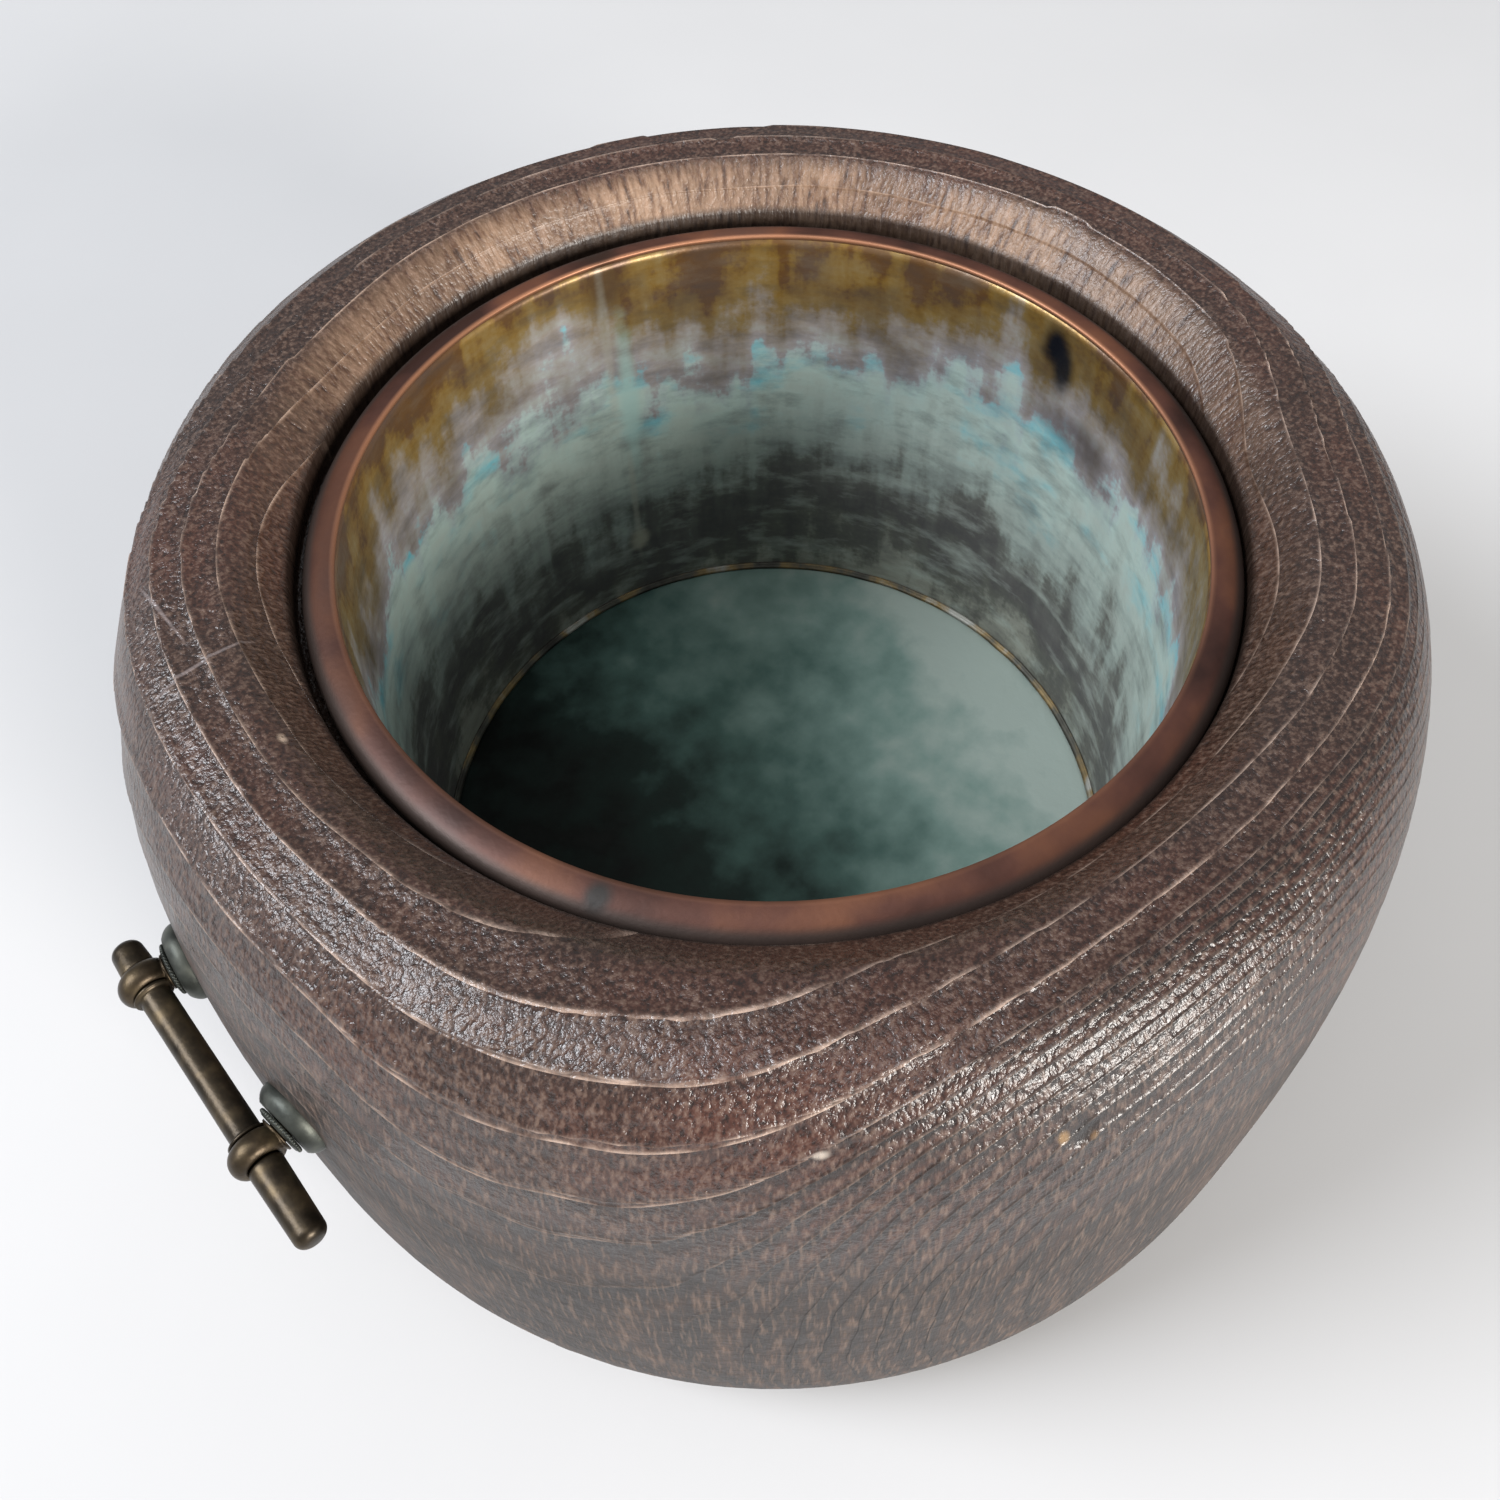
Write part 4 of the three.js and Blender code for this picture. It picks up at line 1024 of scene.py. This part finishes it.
class HIBACHI_OT_liner(bpy.types.Operator):
    """Copper liner: wall, floor, solder and folded lip"""
    bl_idname = "hibachi.liner"
    bl_label = "Copper liner"

    def execute(self, context):
        liner = context.scene.hibachi_liner
        count = liner.segments
        shift = Matrix.Translation((0.0, LINER_Y, 0.0))
        low, top = FLOOR_TOP - SHEET, LIP_TOP - SHEET - GAP
        wall = [(BORE, low), (BORE + SHEET, low)]
        wall += [(BORE + SHEET, low + (top - low) * i / 24) for i in range(1, 24)]
        wall += [(BORE + SHEET, top), (BORE, top)]
        wall += [(BORE, top + (low - top) * i / 60) for i in range(1, 60)]

        def dented_wall(place, angle, row):
            return dented(place, angle, row) if row > 26 else place

        mesh = turned(wall, count, dented_wall)
        mesh.transform(shift)
        finished(mesh, "liner_wall_sheet", "liner", ["liner_wall"],
                 liner_wall_material(liner))
        edge = BORE - GAP
        floor = [(0.0, low), (edge * 0.5, low), (edge, low), (edge, FLOOR_TOP - 0.5 * MM)]
        floor += [(edge * (1 - i / 40), FLOOR_TOP) for i in range(1, 40)]
        floor += [(0.0, FLOOR_TOP)]

        def beaten_floor(place, angle, row):
            return beaten(place, angle, row) if row > 3 else place

        mesh = turned(floor, 128, beaten_floor)
        mesh.transform(shift)
        finished(mesh, "liner_floor_sheet", "liner", ["liner_floor"],
                 liner_floor_material())
        base = FLOOR_TOP + 0.15 * MM
        fillet = [(edge - 2.0 * MM, base), (edge - 0.6 * MM, base), (edge, base + 0.5 * MM),
                  (edge, base + 2.0 * MM), (edge - 0.5 * MM, base + 1.1 * MM),
                  (edge - 1.1 * MM, base + 0.5 * MM)]
        mesh = turned(fillet, count, lumpy)
        mesh.transform(shift)
        finished(mesh, "floor_solder_bead", "liner", ["floor_solder"],
                 solder_material())
        outer, bottom = BORE + 10 * MM, LIP_TOP - 9 * MM
        shoulder = bottom + 3.6 * MM
        cover = [(outer, bottom)]
        cover += arc((BORE, shoulder), (10 * MM, 5.4 * MM), 0.0, math.pi / 2, 16)
        cover += arc((BORE, shoulder), (8.5 * MM, 3.9 * MM), math.pi / 2, 0.0, 16)
        cover.append((outer - SHEET, bottom))
        mesh = turned(cover, count)
        mesh.transform(shift)
        finished(mesh, "liner_lip_cover", "liner", ["liner_lip"],
                 lip_material(liner))
        dressed(["lip_wire"], iron_material())
        return {"FINISHED"}


def bar_outline():
    """Section of a bar from its short tip to its long tip, as (radius, distance) in metres."""
    mid = EYE_Y / MM

    def one_end(overhang):
        points = [(0.0, mid + overhang)]
        points += arc((1.5, mid + overhang - 3.0), (3.0, 3.0), math.pi / 2, 0.0, 8)[1:]
        points += [(4.85, mid + 5.4), (4.9, mid + 4.5), (4.6, mid + 4.15), (4.0, mid + 4.15),
                   (4.0, mid - 4.15), (5.5, mid - 4.15), (5.7, mid - 4.4), (5.7, mid - 4.9),
                   (5.4, mid - 5.15), (4.5, mid - 5.15), (4.4, mid - 5.8), (4.35, mid - 18.0)]
        return points

    short = [(radius, -along) for radius, along in one_end(14.5)]
    return metres(short + one_end(29.1)[::-1])


class HIBACHI_OT_bars(bpy.types.Operator):
    """Turned bronze bars of the handles"""
    bl_idname = "hibachi.bars"
    bl_label = "Handle bars"

    def execute(self, context):
        bronze = bronze_material("Bronze, turned, olive-brown patina",
                                 ("27221b", "3c3429", "574b38"), 0.3, 0.45, 0.8)
        for side, turn in SIDES.items():
            mesh = turned(bar_outline(), 48)
            mesh.transform(LIE_ALONG_Y)
            mesh.transform(Matrix.Rotation(turn, 4, "Z") @ Matrix.Translation((BAR_X, 0.0, BAR_Z)))
            finished(mesh, f"{side}_bar_turned", f"{side}_handle", [f"{side}_bar"],
                     bronze)
        return {"FINISHED"}


def bead_tree():
    """Geometry nodes that set small beads round the edge of a washer."""
    tree, given = new_nodes("Beaded washer edge", {
        "Washer": "Geometry", "Edge radius": "Float", "Beads": "Int", "Bead size": "Float",
        "Height": "Float"})
    circle = put(tree, "GeometryNodeMeshCircle",
                 {"Vertices": given["Beads"], "Radius": given["Edge radius"]})[0]
    lift = put(tree, "ShaderNodeCombineXYZ", (0.0, 0.0, given["Height"]))[0]
    circle = put(tree, "GeometryNodeSetPosition", {"Geometry": circle, "Offset": lift})[0]
    half = put(tree, "ShaderNodeMath", (given["Bead size"], 0.5), operation="MULTIPLY")[0]
    bead = put(tree, "GeometryNodeMeshUVSphere", {"Segments": 8, "Rings": 5, "Radius": half})[0]
    bead = put(tree, "GeometryNodeSetShadeSmooth", {"Geometry": bead, "Shade Smooth": True})[0]
    beads = put(tree, "GeometryNodeInstanceOnPoints", {"Points": circle, "Instance": bead})[0]
    joined = put(tree, "GeometryNodeJoinGeometry", (given["Washer"],))[0]
    tree.links.new(beads, joined.node.inputs[0])
    return ended(tree, joined, given["Material"])


class HIBACHI_OT_rosettes(bpy.types.Operator):
    """Domed rosettes and beaded washers under the eyes"""
    bl_idname = "hibachi.rosettes"
    bl_label = "Rosettes and washers"

    def execute(self, context):
        handles = context.scene.hibachi_handles
        grey = bronze_material("Bronze, cast, grey-green patina",
                               ("2f322f", "454843", "5e6058"), 0.4, 0.58, 0.7)
        seat = SEAT_RADIAL / MM
        tree = bead_tree()
        for side in SIDES:
            for end in ENDS:
                place = station(side, end) @ LIE_ALONG_X
                last = math.asin(3.8 / 6.2)
                dome = [(3.4, seat - 1.6), (11.75, seat - 2.0)]
                dome += arc((0.0, seat), (11.75, 6.2), 0.0, last, 12)
                dome.append((3.4, seat + 3.8))
                mesh = turned(metres(dome), 64)
                mesh.transform(place)
                finished(mesh, f"{side}_{end}_rosette_dome", "root",
                         [f"{side}_{end}_rosette"], grey)
                base, top = seat + 4.1, seat + 5.6
                ring = soft_corners([(3.4, base), (7.4, base), (7.4, base + 1.1),
                                     (6.5, top), (3.4, top)], 0.3)
                mesh = turned(metres(ring), 64)
                mesh = run_tree(tree, mesh, {
                    "Edge radius": 7.28 * MM, "Beads": handles.bead_count,
                    "Bead size": handles.bead_diameter, "Height": (base + 0.62) * MM,
                    "Material": grey})
                mesh.transform(place)
                finished(mesh, f"{side}_{end}_beaded_washer", "root",
                         [f"{side}_{end}_seat_washer"], grey)
        dressed([f"{side}_{end}_clinch_washer" for side in SIDES for end in ENDS],
                iron_material())
        return {"FINISHED"}


class HIBACHI_OT_eyes(bpy.types.Operator):
    """Eyes that hold the bars, with their shanks and clinched legs"""
    bl_idname = "hibachi.eyes"
    bl_label = "Handle eyes"

    def execute(self, context):
        bronze = bronze_material("Bronze, cast, olive-brown patina",
                                 ("2a231a", "41372a", "5c4f3a"), 0.32, 0.48, 0.8)
        bore, heart = 4.25, 5.05
        ring = arc((heart, 0.0), (7.85 - heart, 3.75), -math.pi / 2, math.pi / 2, 16)
        ring += [(bore + 0.25, 3.35), (bore, 2.9), (bore, -2.9), (bore + 0.25, -3.35)]
        seat = (EYE_RADIAL / MM) - bore - 2.2
        neck = [(0.0, seat), (5.4, seat), (5.3, seat + 0.5), (4.3, seat + 1.0),
                (3.9, seat + 1.6), (3.9, seat + 2.0), (0.0, seat + 2.0)]
        shank = [(0.0, 130.8), (3.1, 130.8), (3.1, seat + 1.0), (0.0, seat + 1.0)]
        for side in SIDES:
            for end in ENDS:
                body = turned(metres(ring), 64)
                body.transform(LIE_ALONG_Y)
                body.transform(Matrix.Rotation(-ENDS[end] * EYE_ANGLE, 4, "Z"))
                body.transform(Matrix.Translation((EYE_RADIAL, 0.0, 0.0)))
                below = turned(metres([(0.0, seat - 9), (12, seat - 9), (12, seat),
                                       (0.0, seat)]), 32)
                below.transform(LIE_ALONG_X)
                body = combined(body, [below], "DIFFERENCE")
                joined = []
                for outline in (neck, shank):
                    part = turned(metres(outline), 32)
                    part.transform(LIE_ALONG_X)
                    joined.append(part)
                shape = bmesh.new()
                bmesh.ops.create_cube(shape, size=1.0)
                bmesh.ops.scale(shape, vec=(2.0 * MM, 5.0 * MM, 24.0 * MM), verts=shape.verts)
                bmesh.ops.translate(shape, vec=(131.8 * MM, 0.0, 0.0), verts=shape.verts)
                legs = bpy.data.meshes.new("legs")
                shape.to_mesh(legs)
                shape.free()
                joined.append(legs)
                body = combined(body, joined, "UNION")
                body.transform(station(side, end))
                finished(body, f"{side}_{end}_eye_cast", "root", [f"{side}_{end}_eye"],
                         bronze)
        return {"FINISHED"}


class HIBACHI_PT_sidebar(bpy.types.Panel):
    """Builds the hibachi piece by piece"""
    bl_idname = "HIBACHI_PT_sidebar"
    bl_label = "Hibachi"
    bl_space_type = "VIEW_3D"
    bl_region_type = "UI"
    bl_category = "Hibachi"

    def draw(self, context):
        layout = self.layout
        for group in GROUPS:
            settings = getattr(context.scene, group)
            for name in settings.bl_rna.properties.keys():
                if name not in ("rna_type", "name"):
                    layout.prop(settings, name)
        for operator in OPERATORS:
            layout.operator(operator.bl_idname)


GROUPS = {
    "hibachi_wood": HibachiWood,
    "hibachi_liner": HibachiLiner,
    "hibachi_handles": HibachiHandles,
    "hibachi_stage": HibachiStage,
}
OPERATORS = (
    HIBACHI_OT_stage,
    HIBACHI_OT_body,
    HIBACHI_OT_board,
    HIBACHI_OT_liner,
    HIBACHI_OT_rosettes,
    HIBACHI_OT_eyes,
    HIBACHI_OT_bars,
)


def register():
    """Registers the settings, operators and panel."""
    for name, group in GROUPS.items():
        bpy.utils.register_class(group)
        setattr(bpy.types.Scene, name, bpy.props.PointerProperty(type=group))
    for operator in OPERATORS:
        bpy.utils.register_class(operator)
    bpy.utils.register_class(HIBACHI_PT_sidebar)


def unregister():
    """Removes them again."""
    bpy.utils.unregister_class(HIBACHI_PT_sidebar)
    for operator in reversed(OPERATORS):
        bpy.utils.unregister_class(operator)
    for name, group in reversed(GROUPS.items()):
        delattr(bpy.types.Scene, name)
        bpy.utils.unregister_class(group)


def main():
    """Builds every piece in order."""
    register()
    for operator in OPERATORS:
        getattr(bpy.ops.hibachi, operator.bl_idname.split(".")[1])()


if __name__ == "__main__":
    main()
